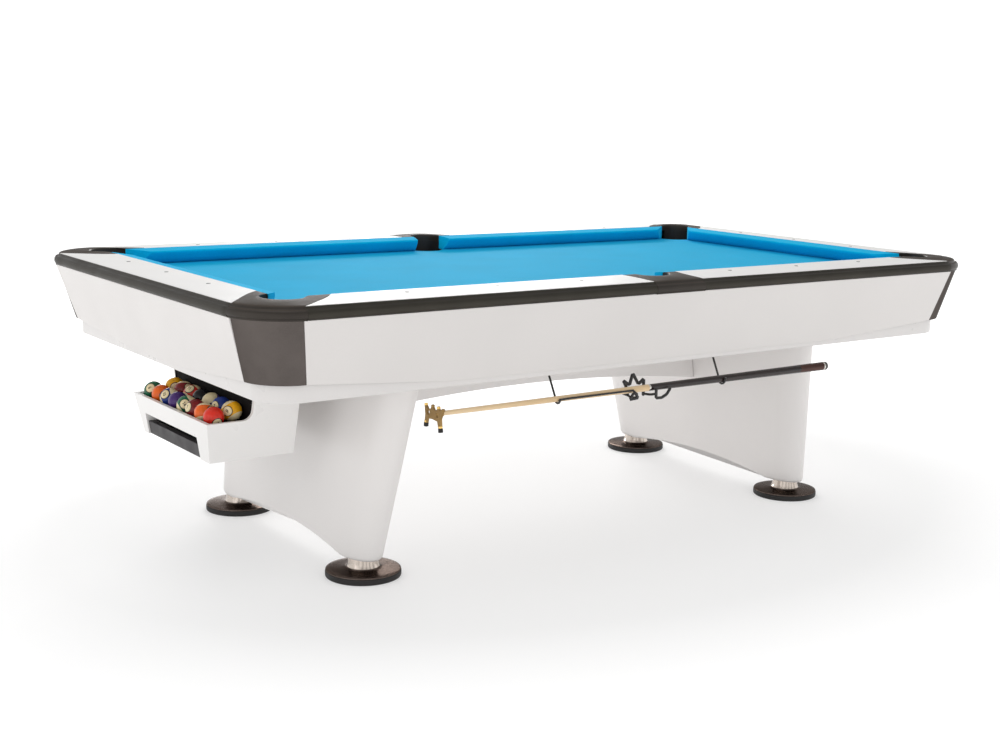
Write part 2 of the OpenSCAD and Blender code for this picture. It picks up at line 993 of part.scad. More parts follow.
// Bent wire through a list of points
module wire(points, r) {
    sides = 10;
    last = len(points) - 1;
    side_way = [0.5, 0.6, 0.62];
    rings = [
        for (i = [0 : last])
            let (way = wire_way(points, i), u = unit(cross(way, side_way)), v = cross(way, u))
                for (k = [0 : sides - 1])
                    points[i] + r * (cos(360 * k / sides) * u + sin(360 * k / sides) * v)
    ];
    walls = [
        for (i = [0 : last - 1], k = [0 : sides - 1])
            let (next = (k + 1) % sides)
                [(i + 1) * sides + k, (i + 1) * sides + next, i * sides + next, i * sides + k]
    ];
    near_end = [for (k = [0 : sides - 1]) k];
    far_end = [for (k = [sides - 1 : -1 : 0]) last * sides + k];
    polyhedron(points = rings, faces = concat([near_end], walls, [far_end]));
}

// Upright part, round bottom and short front lip, in the plane of x
function hook_points(x, bend_r, lip) = concat(
    [[x, -hook_root_y, body_base + 10], [x, -hook_root_y, body_base - 4],
     [x, -stick_y + bend_r, stick_z + 6]],
    [for (i = [0 : 6]) let (a = 180 + 30 * i)
        [x, -stick_y - bend_r * cos(a), stick_z + bend_r * sin(a)]],
    [[x, -stick_y - bend_r - 2, stick_z + lip]]
);

module stick_hooks() {
    foot_r_bend = stick_r_at(hook_foot_x) + wire_r + 0.9;
    head_r_bend = stick_r_at(hook_head_x) + wire_r + 0.9;
    arm_y = -stick_y - foot_r_bend;
    color("black") {
        wire(concat(hook_points(hook_foot_x, foot_r_bend, 0),
                    [[hook_foot_x + 26, arm_y - 2, stick_z + 1],
                     [arm_end_x - 12, arm_y - 2, stick_z + 1],
                     [arm_end_x, spider_front_y, stick_z - 11]]), wire_r);
        wire(hook_points(hook_head_x, head_r_bend, 6), wire_r);
    }
}

function stick_r_at(x) = x < stick_joint_x
    ? tip_r + (joint_r - tip_r) * (x - stick_tip_x) / (stick_joint_x - stick_tip_x)
    : joint_r + (butt_r - joint_r) * (x - stick_joint_x) / (stick_end_x - stick_joint_x);

module bridge_stick() {
    color("burlywood")
        translate([0, -stick_y, stick_z])
            rotate([0, 90, 0])
                rotate_extrude($fn = 48)
                    polygon([[0, stick_tip_x], [tip_r, stick_tip_x], [joint_r, stick_joint_x],
                             [stick_r_at(sleeve_x), sleeve_x], [butt_r, stick_end_x - 6],
                             [butt_r - 4, stick_end_x], [0, stick_end_x]]);
}

// Forked plate on a socket, with two rubber-tipped legs
module bridge_head() {
    plate_t = 7;
    color("peru") {
        translate([stick_tip_x - plate_t - gap, -stick_y, stick_z])
            rotate([90, 0, 90])
                difference() {
                    linear_extrude(plate_t)
                        polygon([[-50, 20], [-46, 22], [-34, 14], [-26, 26], [-20, 14], [-6, 13],
                                 [2, 26], [9, 13], [24, 11], [36, 24], [38, 20], [34, -4],
                                 [38, -34], [30, -34], [24, -14], [0, -12], [-24, -14],
                                 [-32, -38], [-40, -38], [-38, -6]]);
                    translate([20, 3, -1])
                        cylinder(r = 7, h = plate_t + 2);
                    translate([-24, 3, -1])
                        cylinder(r = 7, h = plate_t + 2);
                }
        translate([stick_tip_x - gap, -stick_y, stick_z])
            rotate([0, 90, 0])
                difference() {
                    cylinder(r = tip_r + 3, h = 24);
                    translate([0, 0, gap])
                        cylinder(r = tip_r + 0.4, h = 30);
                }
    }
}

// Bent-wire rest held at the end of the hook's arm: points behind the stick, feet in front
module spider_head() {
    back_y = -stick_y + 21;
    front_y = spider_front_y;
    low = stick_z - 17;
    color("black") {
        wire([[-52, back_y, low], [-50, back_y, 528], [-72, back_y, 512], [-94, back_y, 546],
              [-104, back_y, 512], [-128, back_y, 528], [-116, back_y, 508], [-108, back_y, low],
              [-108, front_y, low]], wire_r);
        wire([[-108, front_y, low + 2], [-122, front_y, 478], [-88, front_y, 474],
              [-106, front_y, low + 8]], wire_r);
        wire([[-52, back_y, low], [-52, front_y, low], [-50, front_y, 474], [-18, front_y, 478],
              [4, front_y, 492], [18, front_y, 503]], wire_r);
    }
}

// ---------------------------------------------------------------- named pieces

// The caps end inside the trim, which starts to bend before they stop
module cap_space() {
    rounded_block(cap_out, cap_bottom - 1, rail_top + 1);
}

module short_cap(sx) {
    color("white")
        difference() {
            intersection() {
                short_side(sx)
                    end_cap();
                cap_space();
            }
            sight_holes();
        }
}

module long_cap(sx, sy) {
    color("white")
        difference() {
            intersection() {
                mirror([sx < 0 ? 1 : 0, 0, 0])
                    long_side(sy)
                        side_cap();
                cap_space();
            }
            sight_holes();
        }
}

module long_cushion(sx, sy) {
    color("dodgerblue")
        mirror([sx < 0 ? 1 : 0, 0, 0])
            long_side(sy)
                side_cushion();
}

module short_cushion(sx) {
    color("dodgerblue")
        short_side(sx)
            end_cushion();
}

pedestal(-1);  // pedestal_foot
pedestal(1);  // pedestal_head
centre_beam();
lower_body();
slate_frame();
slates();
bed_cloth();
sub_rails();
short_cap(-1);  // cap_foot
short_cap(1);  // cap_head
long_cap(-1, -1);  // cap_front_foot
long_cap(1, -1);  // cap_front_head
long_cap(-1, 1);  // cap_back_foot
long_cap(1, 1);  // cap_back_head
short_cushion(-1);  // cushion_foot
short_cushion(1);  // cushion_head
long_cushion(-1, -1);  // cushion_front_foot
long_cushion(1, -1);  // cushion_front_head
long_cushion(-1, 1);  // cushion_back_foot
long_cushion(1, 1);  // cushion_back_head
color("dimgray") end_trim(-1);  // trim_foot
color("dimgray") end_trim(1);  // trim_head
color("dimgray") side_trim(-1, -1);  // trim_front_foot
color("dimgray") side_trim(1, -1);  // trim_front_head
color("dimgray") side_trim(-1, 1);  // trim_back_foot
color("dimgray") side_trim(1, 1);  // trim_back_head
color("gray") corner_casting(-1, -1);  // corner_casting_front_foot
color("gray") corner_casting(1, -1);  // corner_casting_front_head
color("gray") corner_casting(-1, 1);  // corner_casting_back_foot
color("gray") corner_casting(1, 1);  // corner_casting_back_head
color("gray") side_casting(-1);  // side_casting_front
color("gray") side_casting(1);  // side_casting_back
corner_panel(-1, -1);  // corner_panel_front_foot
corner_panel(1, -1);  // corner_panel_front_head
corner_panel(-1, 1);  // corner_panel_back_foot
corner_panel(1, 1);  // corner_panel_back_head
long_apron(-1);  // apron_front
long_apron(1);  // apron_back
short_apron(-1);  // apron_foot
short_apron(1);  // apron_head
pocket_liners();
ball_gully();
rail_sights();
rail_bolts();
ball_box();
ball_tray();
balls();
drawer();
stick_hooks();
bridge_stick();
bridge_head();
spider_head();
foot_ring(-1, -1);  // foot_ring_front_foot
foot_ring(1, -1);  // foot_ring_front_head
foot_ring(-1, 1);  // foot_ring_back_foot
foot_ring(1, 1);  // foot_ring_back_head
foot_disc(-1, -1);  // foot_disc_front_foot
foot_disc(1, -1);  // foot_disc_front_head
foot_disc(-1, 1);  // foot_disc_back_foot
foot_disc(1, 1);  // foot_disc_back_head
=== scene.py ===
import math
import random

import bmesh
import bpy
from mathutils import Matrix, Vector


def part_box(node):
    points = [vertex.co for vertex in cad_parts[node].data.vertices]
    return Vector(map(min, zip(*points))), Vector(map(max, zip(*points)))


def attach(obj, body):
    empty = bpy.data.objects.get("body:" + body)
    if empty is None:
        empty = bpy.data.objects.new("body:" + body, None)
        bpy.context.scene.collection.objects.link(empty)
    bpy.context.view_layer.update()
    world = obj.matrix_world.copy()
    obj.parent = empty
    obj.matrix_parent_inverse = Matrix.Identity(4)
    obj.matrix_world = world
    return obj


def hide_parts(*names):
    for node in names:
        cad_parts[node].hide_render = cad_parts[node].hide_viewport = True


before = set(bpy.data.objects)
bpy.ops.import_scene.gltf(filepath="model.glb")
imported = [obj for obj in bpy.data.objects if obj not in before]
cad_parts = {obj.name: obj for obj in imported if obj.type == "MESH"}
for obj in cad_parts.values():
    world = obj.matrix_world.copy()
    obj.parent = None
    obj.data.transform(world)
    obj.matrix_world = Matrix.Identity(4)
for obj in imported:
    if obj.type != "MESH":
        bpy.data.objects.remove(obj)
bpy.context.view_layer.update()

rng = random.Random(7)

# Lengths below are in millimetres, and become metres when a mesh is made
MM = 0.001
CORNERS = {"front_foot": (-1, -1), "front_head": (1, -1), "back_foot": (-1, 1), "back_head": (1, 1)}


def low(node):
    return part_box(node)[0] / MM


def high(node):
    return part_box(node)[1] / MM


NOSE_X = low("cushion_head").x
NOSE_Y = low("cushion_back_head").y
BED = high("bed_cloth").z
RAIL_TOP = high("cap_head").z
CUSHION = 50.0
CAP_OUT = 182.0
CAP_FALL = 5.0
RAIL_OUT = high("trim_head").x - NOSE_X
AXIS_OUT = RAIL_OUT - 175.0
AXIS_X = NOSE_X + AXIS_OUT
AXIS_Y = NOSE_Y + AXIS_OUT
SEAM = 53.0
SIDE_HALF = high("side_casting_back").x
APRON_LOW = low("apron_front").z
APRON_HIGH = high("apron_front").z
APRON_TOP_OUT = high("apron_back").y - NOSE_Y
APRON_FOOT_OUT = APRON_TOP_OUT - 61.4
GAP = 0.4
POCKET_OUT = 34.0
POCKET_R = 60.0
SIDE_POCKET_OUT = 58.0
SIDE_POCKET_R = 54.0


# ---------------------------------------------------------------- meshes

def new_object(name, verts, faces, material=None, body="table", slot=None, replaces=(), sharp=35.0,
               bevel=0.0, segments=2, bevel_angle=40.0):
    """A smooth-shaded mesh in the row frame, from points in millimetres."""
    mesh = bpy.data.meshes.new(name)
    mesh.from_pydata([Vector(v) * MM for v in verts], [], faces)
    bm = bmesh.new()
    bm.from_mesh(mesh)
    bmesh.ops.remove_doubles(bm, verts=bm.verts, dist=1e-6)
    bmesh.ops.recalc_face_normals(bm, faces=bm.faces)
    bm.to_mesh(mesh)
    bm.free()
    for p in mesh.polygons:
        p.use_smooth = True
    mesh.set_sharp_from_angle(angle=math.radians(sharp))
    obj = bpy.data.objects.new(name, mesh)
    bpy.context.scene.collection.objects.link(obj)
    if material:
        mesh.materials.append(material)
    if bevel:
        m = obj.modifiers.new("bevel", "BEVEL")
        m.width = bevel * MM
        m.segments = segments
        m.limit_method = "ANGLE"
        m.angle_limit = math.radians(bevel_angle)
        m.harden_normals = True
        m.use_clamp_overlap = True
    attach(obj, body)
    if replaces:
        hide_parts(*replaces)
    return obj


def loft(sections, closed=True, caps=True, loop=False):
    """Verts and faces through equal-length sections. closed joins each section's ends."""
    n = len(sections[0])
    verts = [p for s in sections for p in s]
    faces = []
    rows = len(sections)
    for i in range(rows if loop else rows - 1):
        a, b = i * n, ((i + 1) % rows) * n
        for k in range(n if closed else n - 1):
            k2 = (k + 1) % n
            faces.append((a + k, a + k2, b + k2, b + k))
    if caps and not loop:
        faces.append(tuple(range(n - 1, -1, -1)))
        faces.append(tuple((rows - 1) * n + k for k in range(n)))
    return verts, faces


def merge(parts):
    """Several (verts, faces) as one."""
    verts, faces = [], []
    for v, f in parts:
        base = len(verts)
        verts += list(v)
        faces += [tuple(i + base for i in face) for face in f]
    return verts, faces


def moved(part, fn):
    return [fn(Vector(v)) for v in part[0]], part[1]


def lathe(profile, steps=96, centre=(0, 0), capped=True):
    """A turned solid about an upright axis. profile is [radius, height] from bottom to top, and a radius of 0 closes it."""
    verts, faces, rings = [], [], []
    for r, z in profile:
        if r < 1e-6:
            rings.append([len(verts)])
            verts.append((centre[0], centre[1], z))
        else:
            rings.append(list(range(len(verts), len(verts) + steps)))
            verts += [(centre[0] + r * math.cos(2 * math.pi * i / steps),
                       centre[1] + r * math.sin(2 * math.pi * i / steps), z) for i in range(steps)]
    for a, b in zip(rings, rings[1:]):
        for i in range(steps):
            j = (i + 1) % steps
            if len(a) == 1 and len(b) > 1:
                faces.append((a[0], b[j], b[i]))
            elif len(b) == 1 and len(a) > 1:
                faces.append((a[i], a[j], b[0]))
            elif len(a) > 1:
                faces.append((a[i], a[j], b[j], b[i]))
    if capped:
        for ring in (rings[0], rings[-1]):
            if len(ring) > 1:
                faces.append(tuple(ring))
    return verts, faces


def arc(cx, cy, r, a0, a1, n):
    """n+1 points on an arc, angles in degrees."""
    return [(cx + r * math.cos(math.radians(a0 + (a1 - a0) * i / n)),
             cy + r * math.sin(math.radians(a0 + (a1 - a0) * i / n))) for i in range(n + 1)]


def prism(outline, z0, z1, top=None):
    """An upright prism; top(x, y) may give the height of its upper face."""
    n = len(outline)
    verts = [(x, y, z0) for x, y in outline] + [(x, y, top(x, y) if top else z1) for x, y in outline]
    faces = [tuple(range(n - 1, -1, -1)), tuple(range(n, 2 * n))]
    faces += [(i, (i + 1) % n, n + (i + 1) % n, n + i) for i in range(n)]
    return verts, faces


def smooth_line(points, per=6):
    """Catmull-Rom points through a list of points."""
    pts = [Vector(p) for p in points]
    out = []
    for i in range(len(pts) - 1):
        p0 = pts[max(i - 1, 0)]
        p1, p2 = pts[i], pts[i + 1]
        p3 = pts[min(i + 2, len(pts) - 1)]
        for k in range(per):
            t = k / per
            out.append(0.5 * ((2 * p1) + (p2 - p0) * t + (2 * p0 - 5 * p1 + 4 * p2 - p3) * t * t
                              + (3 * p1 - p0 - 3 * p2 + p3) * t ** 3))
    out.append(pts[-1])
    return out


def tube(points, r, sides=12, round_ends=True):
    """A round wire along points, with domed ends. r is a radius or a list of them."""
    pts = [Vector(p) for p in points]
    radii = r if isinstance(r, (list, tuple)) else [r] * len(pts)
    if round_ends:
        first, last = (pts[0] - pts[1]).normalized(), (pts[-1] - pts[-2]).normalized()
        lead, tail = [], []
        for i in (3, 2, 1):
            a = math.pi / 2 * i / 3.2
            lead.append((pts[0] + first * radii[0] * math.sin(a), radii[0] * math.cos(a)))
            tail.insert(0, (pts[-1] + last * radii[-1] * math.sin(a), radii[-1] * math.cos(a)))
        rows = lead + list(zip(pts, radii)) + tail
    else:
        rows = list(zip(pts, radii))
    sections = []
    up = None
    for i, (p, rad) in enumerate(rows):
        a = rows[max(i - 1, 0)][0]
        b = rows[min(i + 1, len(rows) - 1)][0]
        way = (b - a).normalized()
        if up is None:
            up = way.orthogonal().normalized()
        up = (up - way * up.dot(way)).normalized()
        side = way.cross(up)
        sections.append([p + rad * (math.cos(2 * math.pi * k / sides) * up + math.sin(2 * math.pi * k / sides) * side)
                         for k in range(sides)])
    return loft(sections)


# ---------------------------------------------------------------- materials

def material(name, base, rough, metallic=0.0, coat=0.0, coat_rough=0.1, sheen=0.0, specular=0.5):
    mat = bpy.data.materials.new(name)
    mat.use_nodes = True
    nt = mat.node_tree
    b = nt.nodes["Principled BSDF"]
    b.inputs["Base Color"].default_value = (*base, 1)
    b.inputs["Roughness"].default_value = rough
    b.inputs["Metallic"].default_value = metallic
    b.inputs["Coat Weight"].default_value = coat
    b.inputs["Coat Roughness"].default_value = coat_rough
    b.inputs["Sheen Weight"].default_value = sheen
    b.inputs["Specular IOR Level"].default_value = specular
    mat.diffuse_color = (*base, 1)
    return mat, nt, b


def node(nt, kind, **values):
    n = nt.nodes.new(kind)
    for key, value in values.items():
        if key in n.inputs:
            n.inputs[key].default_value = value
        else:
            setattr(n, key, value)
    return n


def noise(nt, scale, detail=3.0, stretch=(1, 1, 1), rough=0.5):
    """Noise in object space, with scale in cycles per metre. Returns its Fac output."""
    co = node(nt, "ShaderNodeTexCoord")
    mp = node(nt, "ShaderNodeMapping")
    mp.inputs["Scale"].default_value = stretch
    nt.links.new(co.outputs["Object"], mp.inputs["Vector"])
    n = node(nt, "ShaderNodeTexNoise")
    n.inputs["Scale"].default_value = scale
    n.inputs["Detail"].default_value = detail
    n.inputs["Roughness"].default_value = rough
    nt.links.new(mp.outputs["Vector"], n.inputs["Vector"])
    return n.outputs["Fac"]


def remap(nt, value, lo, hi, from_lo=0.3, from_hi=0.7):
    m = node(nt, "ShaderNodeMapRange")
    m.inputs["From Min"].default_value = from_lo
    m.inputs["From Max"].default_value = from_hi
    m.inputs["To Min"].default_value = lo
    m.inputs["To Max"].default_value = hi
    nt.links.new(value, m.inputs["Value"])
    return m.outputs["Result"]


def mix(nt, factor, a, b, blend="MIX"):
    """A colour mix; a and b are colours or sockets."""
    m = node(nt, "ShaderNodeMix", data_type="RGBA", blend_type=blend)
    for socket, v in ((m.inputs[6], a), (m.inputs[7], b)):
        if isinstance(v, (tuple, list)):
            socket.default_value = (*v, 1)
        else:
            nt.links.new(v, socket)
    if isinstance(factor, (int, float)):
        m.inputs[0].default_value = factor
    else:
        nt.links.new(factor, m.inputs[0])
    return m.outputs[2]


def math_node(nt, op, a, b=None, clamp=False):
    m = node(nt, "ShaderNodeMath", operation=op, use_clamp=clamp)
    for i, v in enumerate((a, b)):
        if v is None:
            continue
        if isinstance(v, (int, float)):
            m.inputs[i].default_value = v
        else:
            nt.links.new(v, m.inputs[i])
    return m.outputs[0]


def bump(nt, b, height, strength, distance, previous=None):
    n = node(nt, "ShaderNodeBump")
    n.inputs["Strength"].default_value = strength
    n.inputs["Distance"].default_value = distance
    nt.links.new(height, n.inputs["Height"])
    if previous is not None:
        nt.links.new(previous, n.inputs["Normal"])
    nt.links.new(n.outputs["Normal"], b.inputs["Normal"])
    return n.outputs["Normal"]


def shade(base, k):
    return tuple(min(1.0, c * k) for c in base)


def lacquer(name, base, rough=0.34, grain=0.0, coat=0.0, peel=0.06, specular=0.5):
    """Sprayed satin lacquer: slight mottling, orange peel and uneven gloss."""
    mat, nt, b = material(name, base, rough, coat=coat, coat_rough=0.2, specular=specular)
    broad = remap(nt, noise(nt, 3.0, 2.0), 0.0, 1.0)
    fine = remap(nt, noise(nt, 260.0, 2.0), 0.0, 1.0)
    col = mix(nt, broad, shade(base, 0.975), shade(base, 1.015))
    col = mix(nt, math_node(nt, "MULTIPLY", fine, 0.35), col, shade(base, 0.955))
    nt.links.new(col, b.inputs["Base Color"])
    nt.links.new(remap(nt, noise(nt, 9.0, 4.0), rough - 0.04, rough + 0.07), b.inputs["Roughness"])
    n = bump(nt, b, noise(nt, 620.0, 2.0), peel, 0.0003)
    if grain:
        bump(nt, b, noise(nt, 120.0, 5.0, stretch=(0.12, 1, 1)), grain, 0.0004, n)
    return mat


def satin_metal(name, base, rough=0.36, stretch=(1, 1, 1), metallic=0.85, grain=0.05, specular=0.5, edge=1.0):
    """Coated or brushed metal: fine stretched streaks in its gloss, and rubbed spots."""
    mat, nt, b = material(name, base, rough, metallic=metallic, specular=specular)
    b.inputs["Specular Tint"].default_value = (edge, edge, edge, 1)
    streak = noise(nt, 420.0, 4.0, stretch=stretch)
    cloud = noise(nt, 14.0, 4.0)
    col = mix(nt, remap(nt, cloud, 0.0, 1.0), shade(base, 0.86), shade(base, 1.14))
    col = mix(nt, remap(nt, streak, 0.0, 0.35), col, shade(base, 1.35))
    nt.links.new(col, b.inputs["Base Color"])
    r = math_node(nt, "ADD", remap(nt, cloud, rough - 0.05, rough + 0.06), remap(nt, streak, -0.05, 0.05))
    nt.links.new(r, b.inputs["Roughness"])
    bump(nt, b, streak, grain, 0.0002)
    return mat


def cloth(name, base, nap=0.55):
    """Worsted cloth: over-and-under threads, soft mottling and a sheen of short fibres."""
    mat, nt, b = material(name, base, 0.78, sheen=nap, specular=0.05)
    b.inputs["Sheen Roughness"].default_value = 0.45
    b.inputs["Sheen Tint"].default_value = (0.72, 0.93, 1.0, 1)
    co = node(nt, "ShaderNodeTexCoord")
    threads = []
    for axis in ("X", "Y"):
        w = node(nt, "ShaderNodeTexWave", wave_type="BANDS", bands_direction=axis)
        w.inputs["Scale"].default_value = 260.0
        w.inputs["Distortion"].default_value = 0.6
        w.inputs["Detail"].default_value = 1.0
        nt.links.new(co.outputs["Object"], w.inputs["Vector"])
        threads.append(w.outputs["Fac"])
    weave = math_node(nt, "MULTIPLY", threads[0], threads[1])
    fuzz = noise(nt, 900.0, 3.0)
    cloud = remap(nt, noise(nt, 5.0, 4.0, rough=0.6), 0.0, 1.0)
    speck = remap(nt, noise(nt, 170.0, 3.0), 0.0, 1.0)
    col = mix(nt, cloud, shade(base, 0.94), shade(base, 1.06))
    col = mix(nt, math_node(nt, "MULTIPLY", speck, 0.5), col, shade(base, 0.84))
    col = mix(nt, math_node(nt, "MULTIPLY", weave, 0.25), col, shade(base, 1.25))
    nt.links.new(col, b.inputs["Base Color"])
    nt.links.new(remap(nt, fuzz, 0.70, 0.86), b.inputs["Roughness"])
    n = bump(nt, b, weave, 0.25, 0.0002)
    bump(nt, b, fuzz, 0.25, 0.0003, n)
    return mat


def timber(name, light, dark, along=(0.04, 1, 1), rough=0.5, coat=0.0, scale=46.0, grain=0.15, ring=(0.35, 0.65), specular=0.4):
    """Wood with grain stretched along the piece, pores and a little colour drift."""
    mat, nt, b = material(name, light, rough, coat=coat, coat_rough=0.08, specular=specular)
    rings = noise(nt, scale, 6.0, stretch=along, rough=0.62)
    pores = noise(nt, scale * 9, 2.0, stretch=along)
    col = mix(nt, remap(nt, rings, 0.0, 1.0, ring[0], ring[1]), dark, light)
    col = mix(nt, remap(nt, pores, 0.0, 0.35, 0.5, 0.75), col, shade(dark, 0.75))
    nt.links.new(col, b.inputs["Base Color"])
    nt.links.new(remap(nt, rings, rough - 0.06, rough + 0.08), b.inputs["Roughness"])
    bump(nt, b, pores, grain, 0.0003)
    return mat


def dull(name, base, rough=0.6, scale=300.0, strength=0.25, specular=0.4):
    """Moulded rubber or plastic: fine matt grain, faint scuffs."""
    mat, nt, b = material(name, base, rough, specular=specular)
    fine = noise(nt, scale, 3.0)
    scuff = noise(nt, 22.0, 5.0)
    col = mix(nt, remap(nt, scuff, 0.0, 1.0), shade(base, 0.8), shade(base, 1.35))
    nt.links.new(col, b.inputs["Base Color"])
    nt.links.new(remap(nt, scuff, rough - 0.08, rough + 0.1), b.inputs["Roughness"])
    bump(nt, b, fine, strength, 0.0004)
    return mat


WHITE = (0.700, 0.674, 0.657)
M_PANEL = lacquer("panel_lacquer", WHITE, 0.38)
M_BODY = lacquer("body_lacquer", (0.715, 0.693, 0.68), 0.30)
M_BOX = lacquer("box_lacquer", (0.84, 0.825, 0.81), 0.30)
# The pedestals and the beam use a lighter copy of the panels' white lacquer: painted light to make up for the shade
# under the table.
M_LEG_LIT = lacquer("leg_lacquer_lit", (0.79, 0.765, 0.75), 0.36)
M_CAP = lacquer("cap_laminate", (0.84, 0.83, 0.815), 0.46, peel=0.02, specular=0.18)
M_TRIM_X = satin_metal("trim_metal_x", (0.040, 0.036, 0.029), 0.36, stretch=(0.02, 1, 1), metallic=0.6, edge=0.55)
M_TRIM_Y = satin_metal("trim_metal_y", (0.040, 0.036, 0.029), 0.36, stretch=(1, 0.02, 1), metallic=0.6, edge=0.55)
M_CASTING = satin_metal("casting_metal", (0.036, 0.030, 0.025), 0.36, metallic=0.3, grain=0.08, specular=0.26)
# The castings' tops use a copy of their metal with almost no reflection, so they read dark: painted shade in place of
# the lamps' reflection.
M_CASTING_TOP_SHADED = satin_metal("casting_top_shaded", (0.060, 0.049, 0.041), 0.55, metallic=0.0, grain=0.10, specular=0.04)
M_PANEL_METAL = satin_metal("corner_metal", (0.110, 0.095, 0.088), 0.42, grain=0.08, edge=0.30)
M_CLOTH = cloth("bed_worsted", (0.001, 0.43, 0.73), 0.02)
# The cushions' cloth is a lighter copy of the bed's cloth: painted light on their upright faces, which the lamps light
# less.
M_CUSHION_LIT = cloth("cushion_worsted_lit", (0.001, 0.47, 0.80), 0.01)
M_LINER = dull("liner_rubber", (0.012, 0.012, 0.013), 0.5)
M_RIM = dull("pocket_rim", (0.16, 0.13, 0.125), 0.55)
M_TRAY = dull("tray_lining", (0.006, 0.005, 0.005), 0.75, 500.0, 0.5, 0.1)
M_GULLY = dull("gully_plastic", (0.05, 0.05, 0.055), 0.5)
M_SIGHT = dull("sight_inlay", (0.05, 0.047, 0.043), 0.35, 300.0, 0.05)
M_DRAWER = dull("drawer_plastic", (0.017, 0.014, 0.016), 0.42, 700.0, 0.12, 0.3)
M_RUBBER = dull("foot_rubber", (0.013, 0.012, 0.012), 0.6)
M_BUMPER = dull("butt_bumper", (0.06, 0.055, 0.05), 0.5)
M_TIMBER = timber("frame_timber", (0.62, 0.45, 0.27), (0.42, 0.28, 0.15), rough=0.6)
M_SLATE = dull("slate", (0.10, 0.105, 0.115), 0.7, 150.0, 0.2)
M_BOLT = satin_metal("bolt_zinc", (0.55, 0.55, 0.56), 0.35, metallic=1.0)
M_WIRE = satin_metal("black_wire", (0.012, 0.011, 0.011), 0.25, metallic=0.0, grain=0.05)
M_MAPLE = timber("maple", (0.80, 0.60, 0.36), (0.66, 0.45, 0.23), rough=0.3, coat=0.6, grain=0.05)
M_BUTT = timber("dark_butt", (0.022, 0.010, 0.008), (0.005, 0.003, 0.003), rough=0.26, coat=0.5, grain=0.03, specular=0.25)
M_SLEEVE = timber("brown_sleeve", (0.085, 0.026, 0.016), (0.035, 0.012, 0.008), rough=0.3, coat=0.10, grain=0.03, specular=0.25)
M_RING = satin_metal("silver_ring", (0.62, 0.60, 0.56), 0.2, metallic=1.0, grain=0.02)
M_BRASS = satin_metal("cast_brass", (0.30, 0.19, 0.075), 0.36, metallic=1.0, grain=0.25)
M_FERRULE = satin_metal("bright_brass", (0.75, 0.50, 0.17), 0.18, metallic=1.0, grain=0.03)
# The foot plates' nickel is far darker than nickel's own colour: its own warm tone, darkened with painted dark
# reflections.
M_NICKEL_DARKENED = satin_metal("nickel_painted_dark", (0.13, 0.103, 0.090), 0.25, metallic=1.0, grain=0.04, edge=0.40)
M_NECK = satin_metal("neck_nickel", (0.50, 0.44, 0.39), 0.2, stretch=(1, 1, 0.05), metallic=1.0, grain=0.0)


# ---------------------------------------------------------------- rails

def cap_z(out):
    return RAIL_TOP - CAP_FALL * (out - CUSHION) / (CAP_OUT - CUSHION)


def long_point(along, out, z, sy):
    return (along, sy * (NOSE_Y + out), z)


def short_point(along, out, z, sx):
    return (sx * (NOSE_X + out), along, z)


def seam_curve(n=14):
    """(out, along) of the seam between a cap and a corner casting, from the cushion to the trim."""
    points = [(CUSHION + GAP, -84), (72, -68), (100, -42), (130, -8), (156, 22), (174, 42), (CAP_OUT, SEAM - GAP)]
    line = smooth_line([(a, b, 0) for a, b in points], 3)
    return [(p.x, p.y) for p in line]


def side_seam():
    """(out, along) of the seam between a cap and a side casting."""
    points = [(CUSHION + GAP, SIDE_HALF + 9), (80, SIDE_HALF + 3), (120, SIDE_HALF - 1), (160, SIDE_HALF), (CAP_OUT, SIDE_HALF)]
    return [(p.x, p.y) for p in smooth_line([(a, b, 0) for a, b in points], 3)]


def cap_mesh(left, right, place):
    """left and right are (out, along) seams. The cap's top falls outwards, and its rim is rounded."""
    n = len(left)
    outer = CAP_OUT
    rows = []
    steps = 24
    for i in range(n):
        out = left[i][0]
        row = []
        for k in range(steps + 1):
            t = k / steps
            along = left[i][1] * (1 - t) + right[i][1] * t
            row.append((along, out))
        rows.append(row)
    verts, faces = [], []
    for level in (0, 1):
        for row in rows:
            for along, out in row:
                z = cap_z(out) if level else RAIL_TOP - 20
                verts.append(place(along, out, z))
    w = steps + 1
    top = n * w
    for i in range(n - 1):
        for k in range(steps):
            a = i * w + k
            faces.append((top + a, top + a + 1, top + a + w + 1, top + a + w))
            faces.append((a, a + w, a + w + 1, a + 1))
    rim = [k for k in range(w)] + [i * w + steps for i in range(1, n)] \
        + [(n - 1) * w + k for k in range(steps - 1, -1, -1)] + [i * w for i in range(n - 2, 0, -1)]
    for a, b in zip(rim, rim[1:] + rim[:1]):
        faces.append((a, b, top + b, top + a))
    return verts, faces


def inset_seam(seam, sign, length_at_nose, gap=0.35):
    return [(out, sign * (length_at_nose + along - gap)) for out, along in seam]


corner_seam = seam_curve()
middle_seam = side_seam()
# every seam is sampled at the same distances from the nose
outs = [corner_seam[0][0] + (CAP_OUT - corner_seam[0][0]) * i / 15 for i in range(16)]


def at_outs(seam):
    found = []
    for o in outs:
        for (o1, a1), (o2, a2) in zip(seam, seam[1:]):
            if o1 - 1e-6 <= o <= o2 + 1e-6:
                t = (o - o1) / max(o2 - o1, 1e-9)
                found.append((o, a1 + (a2 - a1) * t))
                break
    return found


corner_seam = at_outs(corner_seam)
middle_seam = at_outs(middle_seam)

for name, sx in (("cap_foot", -1), ("cap_head", 1)):
    part = cap_mesh(inset_seam(corner_seam, -1, NOSE_Y), inset_seam(corner_seam, 1, NOSE_Y),
                    lambda a, o, z: short_point(a, o, z, sx))
    new_object("rail_" + name, *part, M_CAP, slot="white_laminate", replaces=[name], bevel=1.6, segments=3)
for key, (sx, sy) in CORNERS.items():
    part = cap_mesh([(o, sx * (a + 0.35)) for o, a in middle_seam], inset_seam(corner_seam, sx, NOSE_X),
                    lambda a, o, z: long_point(a, o, z, sy))
    new_object("rail_cap_" + key, *part, M_CAP, slot="white_laminate", replaces=["cap_" + key], bevel=1.6, segments=3)

